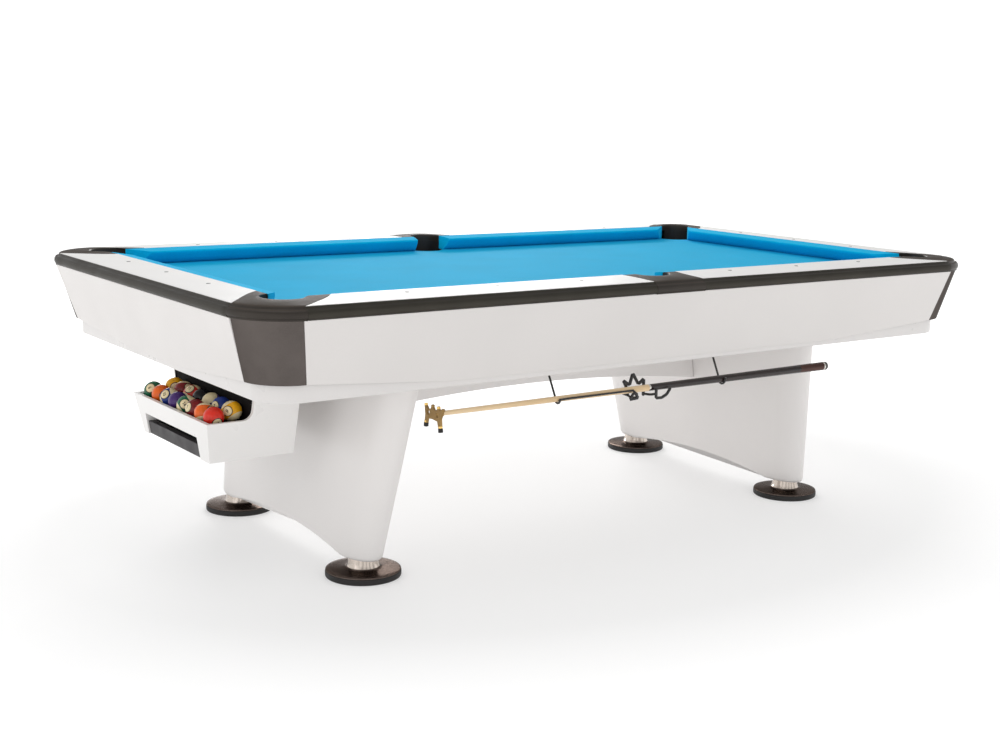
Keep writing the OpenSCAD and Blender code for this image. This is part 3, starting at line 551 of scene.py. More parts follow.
# Inlaid dots at the eighths and the quarters
SIGHT_OUT = 93.7
dots = []
for sx in (-1, 1):
    dots += [(sx * (NOSE_X + SIGHT_OUT), i * NOSE_Y / 2) for i in (-1, 0, 1)]
for sx in (-1, 1):
    for sy in (-1, 1):
        dots += [(sx * i * NOSE_X / 4, sy * (NOSE_Y + SIGHT_OUT)) for i in (1, 2, 3)]
z = cap_z(SIGHT_OUT)
parts = [lathe([(6.0, z - 0.6), (6.0, z + 0.35), (5.6, z + 0.6), (0, z + 0.7)], 32, d) for d in dots]
new_object("sight_dots", *merge(parts), M_SIGHT, slot="sight_inlay", replaces=["rail_sights"], sharp=50)


# Cushions: cloth over a rubber wedge, with a rounded nose
CUSHION_PROFILE = [(50, 777), (40, 777), (30, 777), (26.5, 777.8), (14, 792), (5.5, 802.6), (2.6, 806.6), (1.0, 809.4),
                   (0.2, 811.8), (0.0, 813.3), (0.5, 815.0), (1.9, 816.3), (4.2, 817.1), (8.0, 817.7), (14, 818.6),
                   (24, 820.1), (34, 821.4), (44, 822.4), (50, 822.9)]


def cushion_mesh(start, end, place):
    """start and end give the facing's place along the rail at a distance out."""
    spots = [0, 0.004, 0.012, 0.022, 0.036, 0.06, 0.1]
    spots = spots + [0.1 + 0.8 * i / 16 for i in range(1, 16)] + [1 - s for s in reversed(spots)]
    sections = []
    for t in spots:
        near_end = min(t, 1 - t)
        pinch = math.exp(-near_end * 120)
        row = []
        for i, (out, zz) in enumerate(CUSHION_PROFILE):
            along = start(out) * (1 - t) + end(out) * t
            wave = 0.35 * math.sin(along * 0.11 + i) * math.exp(-near_end * 30) if 4 < i < 17 else 0
            row.append(place(along, out + wave * 0.5 + (0.8 * pinch if i in (8, 9, 10) else 0), zz + wave * 0.4))
        sections.append(row)
    return loft(sections)


corner_slope = 1 / math.tan(math.radians(38))
side_slope = math.tan(math.radians(14))
TIP = 85.0
SIDE_TIP = 65.0
for name, sx in (("cushion_foot", -1), ("cushion_head", 1)):
    tip = NOSE_Y - TIP
    part = cushion_mesh(lambda o: -(tip + o * corner_slope), lambda o: tip + o * corner_slope,
                        lambda a, o, z: short_point(a, o, z, sx))
    pad = new_object("cloth_" + name, *part, M_CUSHION_LIT, slot="cushion_cloth", replaces=[name], sharp=60,
                     bevel=1.8, segments=3, bevel_angle=50)
for key, (sx, sy) in CORNERS.items():
    tip = NOSE_X - TIP
    part = cushion_mesh(lambda o: sx * (SIDE_TIP - o * side_slope), lambda o: sx * (tip + o * corner_slope),
                        lambda a, o, z: long_point(a, o, z, sy))
    pad = new_object("cloth_cushion_" + key, *part, M_CUSHION_LIT, slot="cushion_cloth", replaces=["cushion_" + key],
                     sharp=60, bevel=1.8, segments=3, bevel_angle=50)


# ---------------------------------------------------------------- metal edge

def profile_points(*pieces):
    out = []
    for p in pieces:
        out += p
    return out


# [out, height]: over the top, down the hollow groove and round the band
TRIM = [(CAP_OUT + GAP, 785.6), (CAP_OUT + GAP, 817.2), (184.2, 817.2), (184.9, 816.2), (185.6, 813.8), (187.0, 811.6),
        (189.2, 810.2), (191.6, 809.6), (193.8, 808.6), (196.2, 806.4), (198.2, 803.4), (199.5, 799.8), (200, 796),
        (199.7, 792.2), (198.8, 789), (197.2, 786.6), (195.0, 785.2), (192.6, 785)]


def trim_long(sx, sy):
    start = SIDE_HALF + GAP
    sections = []
    for i in range(25):
        t = i / 24
        sections.append([long_point(sx * (start + (AXIS_X - start) * t), o, z, sy) for o, z in TRIM])
    for i in range(1, 9):
        row = []
        for o, z in TRIM:
            r = o - AXIS_OUT
            a = math.asin((SEAM - GAP - AXIS_OUT) / r) * i / 8
            row.append((sx * (AXIS_X + r * math.sin(a)), sy * (AXIS_Y + r * math.cos(a)), z))
        sections.append(row)
    return loft(sections)


def trim_short(sx):
    sections = []
    for i in range(-8, 0):
        row = []
        for o, z in TRIM:
            r = o - AXIS_OUT
            a = math.asin((SEAM - GAP - AXIS_OUT) / r) * -i / 8
            row.append((sx * (AXIS_X + r * math.cos(a)), -(AXIS_Y + r * math.sin(a)), z))
        sections.append(row)
    for i in range(25):
        sections.append([short_point(-AXIS_Y + 2 * AXIS_Y * i / 24, o, z, sx) for o, z in TRIM])
    for i in range(1, 9):
        row = []
        for o, z in TRIM:
            r = o - AXIS_OUT
            a = math.asin((SEAM - GAP - AXIS_OUT) / r) * i / 8
            row.append((sx * (AXIS_X + r * math.cos(a)), AXIS_Y + r * math.sin(a), z))
        sections.append(row)
    return loft(sections)


for name, sx in (("trim_foot", -1), ("trim_head", 1)):
    new_object("edge_" + name, *trim_short(sx), M_TRIM_Y, slot="trim_metal", replaces=[name], bevel=0.4, sharp=50)
for key, (sx, sy) in CORNERS.items():
    new_object("edge_trim_" + key, *trim_long(sx, sy), M_TRIM_X, slot="trim_metal", replaces=["trim_" + key],
               bevel=0.4, sharp=50)

# The castings' outer edge: a deeper groove, a fuller band and a small lip below it
CASTING_EDGE = [(183.4, 817.6), (185.2, 816.6), (186.4, 814.2), (187.6, 811.6), (189.6, 809.9), (192.2, 809.2),
                (195.0, 808.2), (197.6, 805.8), (199.5, 802.2), (200.3, 798), (200.1, 793.6), (198.8, 790.2),
                (197.0, 788.6), (196.2, 787.8), (196.6, 786.6), (196.8, 784.8), (196.0, 783.2), (193.6, 782.8)]
DOME = 2.6


def casting_section(inner, outer, edge, drop_to, dome, z_in, z_out):
    """One closed section: up the pocket's wall, over the top, down the edge and back underneath."""
    points = []
    inner, outer = Vector(inner), Vector(outer)
    flat = outer - inner
    length = flat.length
    way = flat / max(length, 1e-9)
    r = min(5.0, length * 0.3)
    points.append((inner.x, inner.y, drop_to))
    points.append((inner.x, inner.y, (drop_to + z_in - r) / 2))
    for k in range(6):
        a = math.pi / 2 * k / 5
        p = inner + way * (r - r * math.cos(a))
        points.append((p.x, p.y, z_in - r + r * math.sin(a)))
    for k in range(1, 10):
        t = k / 10
        p = inner + way * (r + (length - r) * t)
        bulge = math.sin(math.pi * min(1, t * 1.02)) ** 0.9
        points.append((p.x, p.y, z_in + (z_out - z_in) * t ** 1.3 + dome * bulge))
    points += edge
    last = Vector(edge[-1])
    back = outer - way * min(12.0, length * 0.4)
    points.append((back.x, back.y, last.z))
    points.append((back.x, back.y, drop_to))
    return points


def pocket_line(cx, cy, r, a0, a1, start, end, n_line, n_arc):
    line = [(start[0] + (cx + r * math.cos(math.radians(a0)) - start[0]) * i / n_line,
             start[1] + (cy + r * math.sin(math.radians(a0)) - start[1]) * i / n_line) for i in range(n_line)]
    line += arc(cx, cy, r, a0, a1, n_arc)
    tail = (cx + r * math.cos(math.radians(a1)), cy + r * math.sin(math.radians(a1)))
    line += [(tail[0] + (end[0] - tail[0]) * i / n_line, tail[1] + (end[1] - tail[1]) * i / n_line)
             for i in range(1, n_line + 1)]
    return line


def corner_casting(sx, sy):
    reach = math.degrees(math.asin((CUSHION + GAP - POCKET_OUT) / POCKET_R))
    inner = pocket_line(POCKET_OUT, POCKET_OUT, POCKET_R, 180 - reach, reach - 90, (-84, CUSHION + GAP),
                        (CUSHION + GAP, -84), 6, 30)
    n = len(inner) - 1
    sections = []
    for i, (ix, iy) in enumerate(inner):
        u = i / n
        edge = []
        for o, z in [(CAP_OUT, 818.2)] + CASTING_EDGE:
            r = o - AXIS_OUT
            a0 = math.asin((SEAM - AXIS_OUT) / r)
            a = a0 + (math.pi / 2 - 2 * a0) * u
            edge.append((AXIS_OUT + r * math.sin(a), AXIS_OUT + r * math.cos(a), z))
        outer = edge[0][:2]
        blend = min(1.0, min(u, 1 - u) / 0.16)
        blend = blend * blend * (3 - 2 * blend)
        row = casting_section((ix, iy), outer, edge[1:], 800.0, DOME * blend, cap_z(CUSHION) - 0.2 * blend, 818.2)
        # the first and the last section follow the curved seam of the caps
        bow = max(0.0, 1 - min(u, 1 - u) / 0.22)
        if bow > 0:
            flip = u > 0.5
            bent = []
            for x, y, z in row:
                o, a = (x, y) if flip else (y, x)
                if CUSHION < o < CAP_OUT:
                    straight = -84 + (SEAM + 84) * (o - CUSHION) / (CAP_OUT - CUSHION)
                    seam_at = next((a1 + (a2 - a1) * (o - o1) / max(o2 - o1, 1e-9) for (o1, a1), (o2, a2)
                                    in zip(corner_seam, corner_seam[1:]) if o1 <= o <= o2), straight)
                    a += (seam_at - straight) * bow * bow
                bent.append((o, a, z) if flip else (a, o, z))
            row = bent
        sections.append([(sx * (NOSE_X + x), sy * (NOSE_Y + y), z) for x, y, z in row])
    return loft(sections)


def soften_top(obj):
    """The castings' upward faces get a duller copy of their metal with almost no reflection, so the tops read dark:
    painted shade in place of the lamps' reflection.
    """
    obj.data.materials.append(M_CASTING_TOP_SHADED)
    for p in obj.data.polygons:
        if p.normal.z > 0.8:
            p.material_index = 1


for key, (sx, sy) in CORNERS.items():
    soften_top(new_object("casting_" + key, *corner_casting(sx, sy), M_CASTING, slot="casting_metal",
                          replaces=["corner_casting_" + key], sharp=42))


def side_casting(sy):
    reach = math.degrees(math.asin((CUSHION + GAP - SIDE_POCKET_OUT) / SIDE_POCKET_R))
    half = SIDE_HALF + 9
    inner = pocket_line(0, SIDE_POCKET_OUT, SIDE_POCKET_R, 180 - reach, reach, (-half, CUSHION + GAP),
                        (half, CUSHION + GAP), 5, 30)
    n = len(inner) - 1
    sections = []
    for i, (ix, iy) in enumerate(inner):
        u = i / n
        along = -SIDE_HALF + 2 * SIDE_HALF * u
        edge = [(along, o, z) for o, z in CASTING_EDGE]
        blend = min(1.0, min(u, 1 - u) / 0.16)
        blend = blend * blend * (3 - 2 * blend)
        row = casting_section((ix, iy), (along, CAP_OUT), edge, 800.0, DOME * blend, cap_z(CUSHION) - 0.2 * blend, 818.2)
        bow = max(0.0, 1 - min(u, 1 - u) / 0.22) ** 2
        bent = []
        for x, y, z in row:
            if bow > 0 and CUSHION < y < CAP_OUT:
                side = -1 if u < 0.5 else 1
                straight = half + (SIDE_HALF - half) * (y - CUSHION) / (CAP_OUT - CUSHION)
                seam_at = next((a1 + (a2 - a1) * (y - o1) / max(o2 - o1, 1e-9) for (o1, a1), (o2, a2)
                                in zip(middle_seam, middle_seam[1:]) if o1 <= y <= o2), straight)
                x += side * (seam_at - straight) * bow
            bent.append((x, y, z))
        sections.append([(x, sy * (NOSE_Y + y), z) for x, y, z in bent])
    return loft(sections)


for key, sy in (("front", -1), ("back", 1)):
    soften_top(new_object("casting_side_" + key, *side_casting(sy), M_CASTING, slot="casting_metal",
                          replaces=["side_casting_" + key], sharp=42))


# ---------------------------------------------------------------- cabinet

def apron_outs(z):
    """Outer and inner distance from the nose at a height."""
    f = (z - APRON_LOW) / (APRON_HIGH - APRON_LOW)
    outer = APRON_FOOT_OUT * (1 - f) + APRON_TOP_OUT * f
    return outer, outer - (7 * (1 - f) + 17 * f)


def panel_seam(z):
    f = (z - APRON_LOW) / (APRON_HIGH - APRON_LOW)
    return (APRON_FOOT_OUT - 108) * (1 - f) + (APRON_TOP_OUT - 133) * f


APRON_RISE = 32.0
SLOPE_RUN = 435.0


def apron_mesh(half, place):
    """One apron with a boat-shaped lower edge that rises to the corner panels, in a soft bend."""
    knee = half + panel_seam(APRON_LOW) - SLOPE_RUN
    cols = 96
    rows = 14

    def lower(s):
        d = abs(s) - knee
        soft = 60.0
        if d <= -soft:
            rise = 0.0
        elif d >= soft:
            rise = d
        else:
            rise = (d + soft) ** 2 / (4 * soft)
        return APRON_LOW + rise * APRON_RISE / SLOPE_RUN

    grids = []
    for side in (0, 1):
        grid = []
        for i in range(rows + 1):
            t = i / rows
            row = []
            for k in range(cols + 1):
                c = -1 + 2 * k / cols
                s = c * (half + panel_seam(APRON_LOW) - GAP)
                for _ in range(4):
                    z = lower(s) * (1 - t) + APRON_HIGH * t
                    s = c * (half + panel_seam(z) - GAP)
                z = lower(s) * (1 - t) + APRON_HIGH * t
                outer, inner = apron_outs(z)
                row.append((s, outer if side == 0 else inner, z))
            grid.append(row)
        grids.append(grid)
    verts = [place(*p) for g in grids for row in g for p in row]
    w = cols + 1
    back = (rows + 1) * w
    faces = []
    for i in range(rows):
        for k in range(cols):
            a = i * w + k
            faces.append((a, a + 1, a + w + 1, a + w))
            faces.append((back + a, back + a + w, back + a + w + 1, back + a + 1))
    rim = [k for k in range(w)] + [i * w + cols for i in range(1, rows + 1)] \
        + [rows * w + k for k in range(cols - 1, -1, -1)] + [i * w for i in range(rows - 1, 0, -1)]
    for a, b in zip(rim, rim[1:] + rim[:1]):
        faces.append((a, b, back + b, back + a))
    return verts, faces


for name, sy in (("apron_front", -1), ("apron_back", 1)):
    new_object("panel_" + name, *apron_mesh(NOSE_X, lambda a, o, z: long_point(a, o, z, sy)), M_PANEL,
               slot="white_lacquer", replaces=[name], bevel=1.2, segments=3)
for name, sx in (("apron_foot", -1), ("apron_head", 1)):
    new_object("panel_" + name, *apron_mesh(NOSE_Y, lambda a, o, z: short_point(a, o, z, sx)), M_PANEL,
               slot="white_lacquer", replaces=[name], bevel=1.2, segments=3)


def corner_panel(sx, sy):
    """Curved metal panel between two aprons; its seams lean in towards the foot."""
    z_low = low("corner_panel_front_foot").z
    grids = []
    rows, cols = 20, 36
    for side in (0, 1):
        grid = []
        for i in range(rows + 1):
            z = z_low + (APRON_HIGH - z_low) * i / rows
            outer, inner = apron_outs(z)
            o = outer if side == 0 else inner
            r = o - AXIS_OUT
            seam = panel_seam(z) + GAP
            row = []
            # the path runs straight from the seam to the round corner, round it, and straight again
            straight = max(0.0, AXIS_OUT - seam)
            a0 = math.asin(min(1.0, max(0.0, seam - AXIS_OUT) / r))
            turn = r * (math.pi / 2 - 2 * a0)
            total = 2 * straight + turn
            for k in range(cols + 1):
                s = total * k / cols
                if s < straight:
                    p = (seam + s, o)
                elif s > straight + turn:
                    p = (o, AXIS_OUT - (s - straight - turn))
                else:
                    a = a0 + (s - straight) / r
                    p = (AXIS_OUT + r * math.sin(a), AXIS_OUT + r * math.cos(a))
                row.append((sx * (NOSE_X + p[0]), sy * (NOSE_Y + p[1]), z))
            grid.append(row)
        grids.append(grid)
    verts = [p for g in grids for row in g for p in row]
    w = cols + 1
    back = (rows + 1) * w
    faces = []
    for i in range(rows):
        for k in range(cols):
            a = i * w + k
            faces.append((a, a + 1, a + w + 1, a + w))
            faces.append((back + a, back + a + w, back + a + w + 1, back + a + 1))
    rim = [k for k in range(w)] + [i * w + cols for i in range(1, rows + 1)] \
        + [rows * w + k for k in range(cols - 1, -1, -1)] + [i * w for i in range(rows - 1, 0, -1)]
    for a, b in zip(rim, rim[1:] + rim[:1]):
        faces.append((a, b, back + b, back + a))
    return verts, faces


for key, (sx, sy) in CORNERS.items():
    new_object("panel_corner_" + key, *corner_panel(sx, sy), M_PANEL_METAL, slot="panel_metal",
               replaces=["corner_panel_" + key], bevel=0.8, segments=2)


def rounded_outline(out, n=24):
    """The plan of a layer with round corners."""
    r = out - AXIS_OUT
    points = []
    for sx, sy, a0 in ((1, 1, 0), (-1, 1, 90), (-1, -1, 180), (1, -1, 270)):
        points += [(sx * AXIS_X + dx, sy * AXIS_Y + dy) for dx, dy in arc(0, 0, r, a0, a0 + 90, n)]
    return points


BODY_OUT = high("lower_body").y - NOSE_Y
BODY_LOW = low("lower_body").z
BODY_HIGH = high("lower_body").z


def lower_body():
    """A tray with thick walls, a floor and softly rounded lower edges."""
    sections = []
    outlines = []
    edge = 5.0
    for k in range(6):
        a = math.pi / 2 * k / 5
        outlines.append((BODY_OUT - edge + edge * math.sin(a), BODY_LOW + edge - edge * math.cos(a)))
    outlines.append((BODY_OUT, BODY_HIGH))
    outlines.append((BODY_OUT - 20, BODY_HIGH))
    outlines.append((BODY_OUT - 20, BODY_LOW + 18))
    for out, z in outlines:
        sections.append([(x, y, z) for x, y in rounded_outline(out)])
    return loft(sections, closed=True, caps=True)


new_object("cabinet_lower_body", *lower_body(), M_BODY, slot="white_lacquer", replaces=["lower_body"], sharp=40)


# ---------------------------------------------------------------- pedestals

LEG_BASE = low("pedestal_head").z
LEG_TOP = high("pedestal_head").z
LEG_X = 821.5
LEG_LEAN = math.radians(7.9)
LEG_R = 52.0
END_LOW, END_HIGH = 417.0, 497.0
ARCH_HALF, ARCH_RISE = 350.0, 30.0


def pedestal(sx):
    """Leaning slab with half-round ends; the underside is an arch with a soft lower edge."""
    h = (LEG_TOP - LEG_BASE) / math.cos(LEG_LEAN)
    edge = 10.0
    levels = []
    for k in range(6):
        a = math.pi / 2 * k / 5
        levels.append((edge * (1 - math.cos(a)), edge * (math.sin(a) - 1)))
    levels += [(edge + (h - edge) * (i / 22), 0.0) for i in range(1, 23)]
    arch_r = (ARCH_HALF ** 2 + ARCH_RISE ** 2) / (2 * ARCH_RISE)
    face = 44
    sections = []
    for up, shrink in levels:
        f = up / h
        end = END_LOW + (END_HIGH - END_LOW) * f
        r = LEG_R + shrink * 0.3
        # the ends are drawn out ovals, so that the faces turn into them softly
        oval = 1.75 * LEG_R
        centre = end + LEG_R + shrink - oval
        outline = [(r, -centre + 2 * centre * i / face) for i in range(face + 1)]
        outline += [(r * math.cos(math.radians(a)), centre + oval * math.sin(math.radians(a))) for a in range(5, 180, 5)]
        outline += [(-r, centre - 2 * centre * i / face) for i in range(face + 1)]
        outline += [(r * math.cos(math.radians(a)), -centre + oval * math.sin(math.radians(a))) for a in range(185, 360, 5)]
        row = []
        for t, y in outline:
            # the arch lifts the lowest levels, and fades out upwards
            lift = max(0.0, math.sqrt(max(arch_r ** 2 - y * y, 0)) - (arch_r - ARCH_RISE)) if abs(y) < ARCH_HALF else 0
            u = up + lift * (1 - f)
            x = LEG_X + t * math.cos(LEG_LEAN) - u * math.sin(LEG_LEAN)
            z = LEG_BASE + t * math.sin(LEG_LEAN) * (1 - f) * 0 + u * math.cos(LEG_LEAN)
            # the lowest and highest levels are cut level with the floor
            x -= t * math.sin(LEG_LEAN) * math.tan(LEG_LEAN) * 0
            row.append((sx * x, y, z))
        sections.append(row)
    return loft(sections)


for name, sx in (("pedestal_foot", -1), ("pedestal_head", 1)):
    new_object("leg_" + name, *pedestal(sx), M_LEG_LIT, slot="white_lacquer", replaces=[name], sharp=40)


def beam():
    """Board between the pedestals with a hollow lower edge."""
    reach = 720.0
    zl, zh = low("centre_beam").z, high("centre_beam").z
    rise = 46.0
    r = (reach ** 2 + rise ** 2) / (2 * rise)
    sections = []
    n = 60
    for i in range(n + 1):
        c = -1 + 2 * i / n
        lower = zl + rise - r + math.sqrt(r * r - (c * reach) ** 2)
        row = []
        for y, top in ((-20, 0), (20, 0), (20, 1), (-20, 1)):
            zz = zh if top else lower
            x_end = LEG_X - (zz - LEG_BASE) * math.tan(LEG_LEAN) - LEG_R / math.cos(LEG_LEAN) - 0.6
            row.append((c * x_end, y, zz))
        sections.append(row)
    return loft(sections)


new_object("beam_board", *beam(), M_LEG_LIT, slot="white_lacquer", replaces=["centre_beam"], bevel=2.0, segments=3)


# ---------------------------------------------------------------- feet

FOOT_R = (high("foot_ring_front_head").x - low("foot_ring_front_head").x) / 2
for key, (sx, sy) in CORNERS.items():
    lo, hi = low("foot_ring_" + key), high("foot_ring_" + key)
    c = ((lo.x + hi.x) / 2, (lo.y + hi.y) / 2)
    ring = lathe([(0, 0.0), (FOOT_R - 3.5, 0.0), (FOOT_R - 1.4, 0.9), (FOOT_R - 0.3, 3.0), (FOOT_R, 6), (FOOT_R, 13.5),
                  (FOOT_R - 0.5, 15.8), (FOOT_R - 1.8, 17.0), (FOOT_R - 6, 17.0), (80.3, 17.0), (80.3, 5.0), (0, 5.0)],
                 128, c)
    new_object("pad_" + key, *ring, M_RUBBER, body="foot_pad_" + key, slot="foot_rubber",
               replaces=["foot_ring_" + key], sharp=40)
    disc = lathe([(0, 5.3), (79.9, 5.3), (79.9, 17.3), (FOOT_R - 2.2, 17.3), (FOOT_R - 1.2, 18.0), (FOOT_R - 1.2, 19.2),
                  (FOOT_R - 2.0, 20.2), (FOOT_R - 4.6, 20.8), (90, 21.6), (70, 22.6), (54, 23.6), (50, 24.2), (47.4, 25.6),
                  (46.0, 28.0)], 128, c, capped=False)
    new_object("plate_" + key, *disc, M_NICKEL_DARKENED, body="foot_screw_" + key, slot="foot_nickel",
               replaces=["foot_disc_" + key], sharp=50)
    neck = lathe([(46.0, 28.0), (44.2, 32), (42.6, 38), (41.2, 46), (39.6, 53.4), (0, 53.4)], 128, c, capped=False)
    new_object("neck_" + key, *neck, M_NECK, body="foot_screw_" + key, slot="foot_nickel", sharp=50)


# ---------------------------------------------------------------- bed cloth

def cloth_edge():
    """Plan points of the cloth where it folds down round the pockets, each with a weight of 1."""
    corner = []
    reach = CLOTH_OUT - POCKET_OUT
    a = math.degrees(math.asin(reach / FOLD_R))
    for x, y in arc(POCKET_OUT, POCKET_OUT, FOLD_R, 360 - (90 - a), 90 - a + 90 + 0, 1):
        pass
    corner = arc(POCKET_OUT, POCKET_OUT, FOLD_R, 270 + a, 180 - a, 30)
    points = []
    side_reach = SIDE_POCKET_OUT - CLOTH_OUT
    b = math.degrees(math.asin(side_reach / FOLD_SIDE_R))
    side = arc(0, SIDE_POCKET_OUT, FOLD_SIDE_R, -b, b - 180, 24)
    # head-back quarter, then the others by mirroring, counter-clockwise
    points += [(NOSE_X + x, NOSE_Y + y, 1) for x, y in corner]
    points += [(x, NOSE_Y + y, 1) for x, y in side]
    points += [(-NOSE_X - x, NOSE_Y + y, 1) for x, y in reversed(corner)]
    points += [(-NOSE_X - x, -NOSE_Y - y, 1) for x, y in corner]
    points += [(-x, -NOSE_Y - y, 1) for x, y in side]
    points += [(NOSE_X + x, -NOSE_Y - y, 1) for x, y in reversed(corner)]
    return points


CLOTH_OUT = 46.0
FOLD_R = POCKET_R + 4.5 - 1.2
FOLD_SIDE_R = SIDE_POCKET_R + 4.5 - 1.2


def bed_mesh():
    """One sheet: flat on the slates, and turned down round the edge of every pocket."""
    ring = cloth_edge()
    centres = [(sx * (NOSE_X + POCKET_OUT), sy * (NOSE_Y + POCKET_OUT)) for sx in (-1, 1) for sy in (-1, 1)]
    centres += [(0, sy * (NOSE_Y + SIDE_POCKET_OUT)) for sy in (-1, 1)]
    layers = [(5.0, 775.9), (2.6, 775.5), (1.0, 774.3), (0.2, 772.2), (0.0, 769.0), (0.0, 762.0)]
    verts, faces = [], []
    for back, z in layers:
        for x, y, _ in ring:
            cx, cy = min(centres, key=lambda c: (c[0] - x) ** 2 + (c[1] - y) ** 2)
            d = Vector((x - cx, y - cy))
            d = d * (1 + back / d.length)
            verts.append((cx + d.x, cy + d.y, z))
    n = len(ring)
    for k in range(len(layers) - 1):
        for i in range(n - 1):
            # no flap on the straight edges between two pockets
            if (Vector(ring[i][:2]) - Vector(ring[i + 1][:2])).length < 40:
                a, b = k * n + i, (k + 1) * n + i
                faces.append((a, b, b + 1, a + 1))
    faces.append(tuple(range(n)))
    return verts, faces


sheet = new_object("bed_worsted_cloth", *bed_mesh(), M_CLOTH, slot="blue_cloth", replaces=["bed_cloth"], sharp=80)
max(sheet.data.polygons, key=lambda p: p.area).use_smooth = False
thick = sheet.modifiers.new("cloth", "SOLIDIFY")
thick.thickness = 0.0009
thick.offset = -1.0


# ---------------------------------------------------------------- balls

PAINTS = {"yellow": (0.86, 0.42, 0.012), "blue": (0.018, 0.045, 0.26), "red": (0.68, 0.030, 0.016),
          "purple": (0.060, 0.022, 0.15), "orange": (0.80, 0.13, 0.012), "green": (0.012, 0.13, 0.060),
          "maroon": (0.20, 0.012, 0.014), "black": (0.008, 0.008, 0.009)}
BALL_PAINT = ["yellow", "blue", "red", "purple", "orange", "green", "maroon"]
IVORY = (0.82, 0.69, 0.42)
BALL_R = 28.575
DIGITS = {
    "0": [[(0.5, 2), (0.15, 1.7), (0, 1), (0.15, 0.3), (0.5, 0), (0.85, 0.3), (1, 1), (0.85, 1.7), (0.5, 2)]],
    "1": [[(0.15, 1.6), (0.55, 2), (0.55, 0)]],
    "2": [[(0.02, 1.55), (0.3, 1.95), (0.7, 1.95), (1, 1.5), (0.8, 1), (0, 0), (1, 0)]],
    "3": [[(0.02, 1.75), (0.4, 2), (0.8, 1.85), (0.9, 1.4), (0.45, 1.1), (0.95, 0.75), (0.9, 0.2), (0.45, 0), (0, 0.25)]],
    "4": [[(0.75, 0), (0.75, 2), (0, 0.6), (1, 0.6)]],
    "5": [[(0.9, 2), (0.15, 2), (0.08, 1.15), (0.55, 1.3), (0.95, 0.95), (0.9, 0.3), (0.5, 0), (0, 0.2)]],
    "6": [[(0.85, 1.85), (0.4, 1.9), (0.05, 1.2), (0.05, 0.4), (0.45, 0), (0.9, 0.25), (0.9, 0.9), (0.45, 1.1), (0.05, 0.75)]],
    "7": [[(0, 2), (1, 2), (0.35, 0)]],
    "8": [[(0.5, 1.08), (0.1, 1.4), (0.15, 1.85), (0.5, 2), (0.85, 1.85), (0.9, 1.4), (0.5, 1.08), (0.05, 0.7),
           (0.1, 0.15), (0.5, 0), (0.9, 0.15), (0.95, 0.7), (0.5, 1.08)]],
    "9": [[(0.15, 0.15), (0.6, 0.1), (0.95, 0.8), (0.95, 1.6), (0.55, 2), (0.1, 1.75), (0.1, 1.1), (0.55, 0.9), (0.95, 1.25)]],
}


def ball_material(number):
    paint_name = "black" if number == 8 else BALL_PAINT[(number - 1) % 8]
    colour = PAINTS[paint_name]
    mat, nt, b = material("ball_%d_resin" % number, colour, 0.08, specular=0.32)
    co = node(nt, "ShaderNodeTexCoord")
    unit = node(nt, "ShaderNodeVectorMath", operation="NORMALIZE")
    nt.links.new(co.outputs["Object"], unit.inputs[0])
    split = node(nt, "ShaderNodeSeparateXYZ")
    nt.links.new(unit.outputs[0], split.inputs[0])
    side = math_node(nt, "ABSOLUTE", split.outputs["X"])
    circle = math_node(nt, "GREATER_THAN", side, 0.895)
    ring = math_node(nt, "MULTIPLY", math_node(nt, "GREATER_THAN", side, 0.855), math_node(nt, "LESS_THAN", side, 0.895))
    cloud = remap(nt, noise(nt, 60.0, 3.0), 0.0, 1.0)
    body = mix(nt, cloud, shade(colour, 0.88), shade(colour, 1.12))
    ivory = mix(nt, cloud, shade(IVORY, 0.93), shade(IVORY, 1.05))
    if number > 8:
        belt = math_node(nt, "LESS_THAN", math_node(nt, "ABSOLUTE", split.outputs["Z"]), 0.56)
        body = mix(nt, belt, ivory, body)
    body = mix(nt, ring, body, (0.03, 0.025, 0.02))
    nt.links.new(mix(nt, circle, body, ivory), b.inputs["Base Color"])
    nt.links.new(remap(nt, noise(nt, 90.0, 4.0), 0.05, 0.14), b.inputs["Roughness"])
    bump(nt, b, noise(nt, 500.0, 2.0), 0.02, 0.0001)
    return mat


def number_strokes(text, height, width):
    """Ribbons of the number, laid on the sphere round its +X and -X poles."""
    verts, faces = [], []
    span = height * 0.5
    for pole in (1, -1):
        for n, digit in enumerate(text):
            shift = (n - (len(text) - 1) / 2) * (span + 1.6) - span / 2
            for line in DIGITS[digit]:
                pts = [Vector((shift + x * span, (y - 1) * height / 2, 0)) for x, y in line]
                pts = smooth_line(pts, 4)
                base = len(verts)
                for i, p in enumerate(pts):
                    way = (pts[min(i + 1, len(pts) - 1)] - pts[max(i - 1, 0)]).normalized()
                    across = Vector((-way.y, way.x, 0)) * width / 2
                    for q in (p + across, p - across):
                        v = Vector((math.sqrt(BALL_R ** 2 - q.x ** 2 - q.y ** 2), q.x, q.y)).normalized() * (BALL_R + 0.04)
                        verts.append((pole * v.x, pole * v.y, v.z))
                for i in range(len(pts) - 1):
                    a = base + 2 * i
                    faces.append((a, a + 1, a + 3, a + 2))
    return verts, faces


M_INK = dull("ball_ink", (0.012, 0.011, 0.010), 0.2, 300.0, 0.02)
FRONT_ROW = [6, 5, 10, 4, 14, 7, 13, 3]
BACK_ROW = [1, 15, 11, 8, 12, 2, 9]
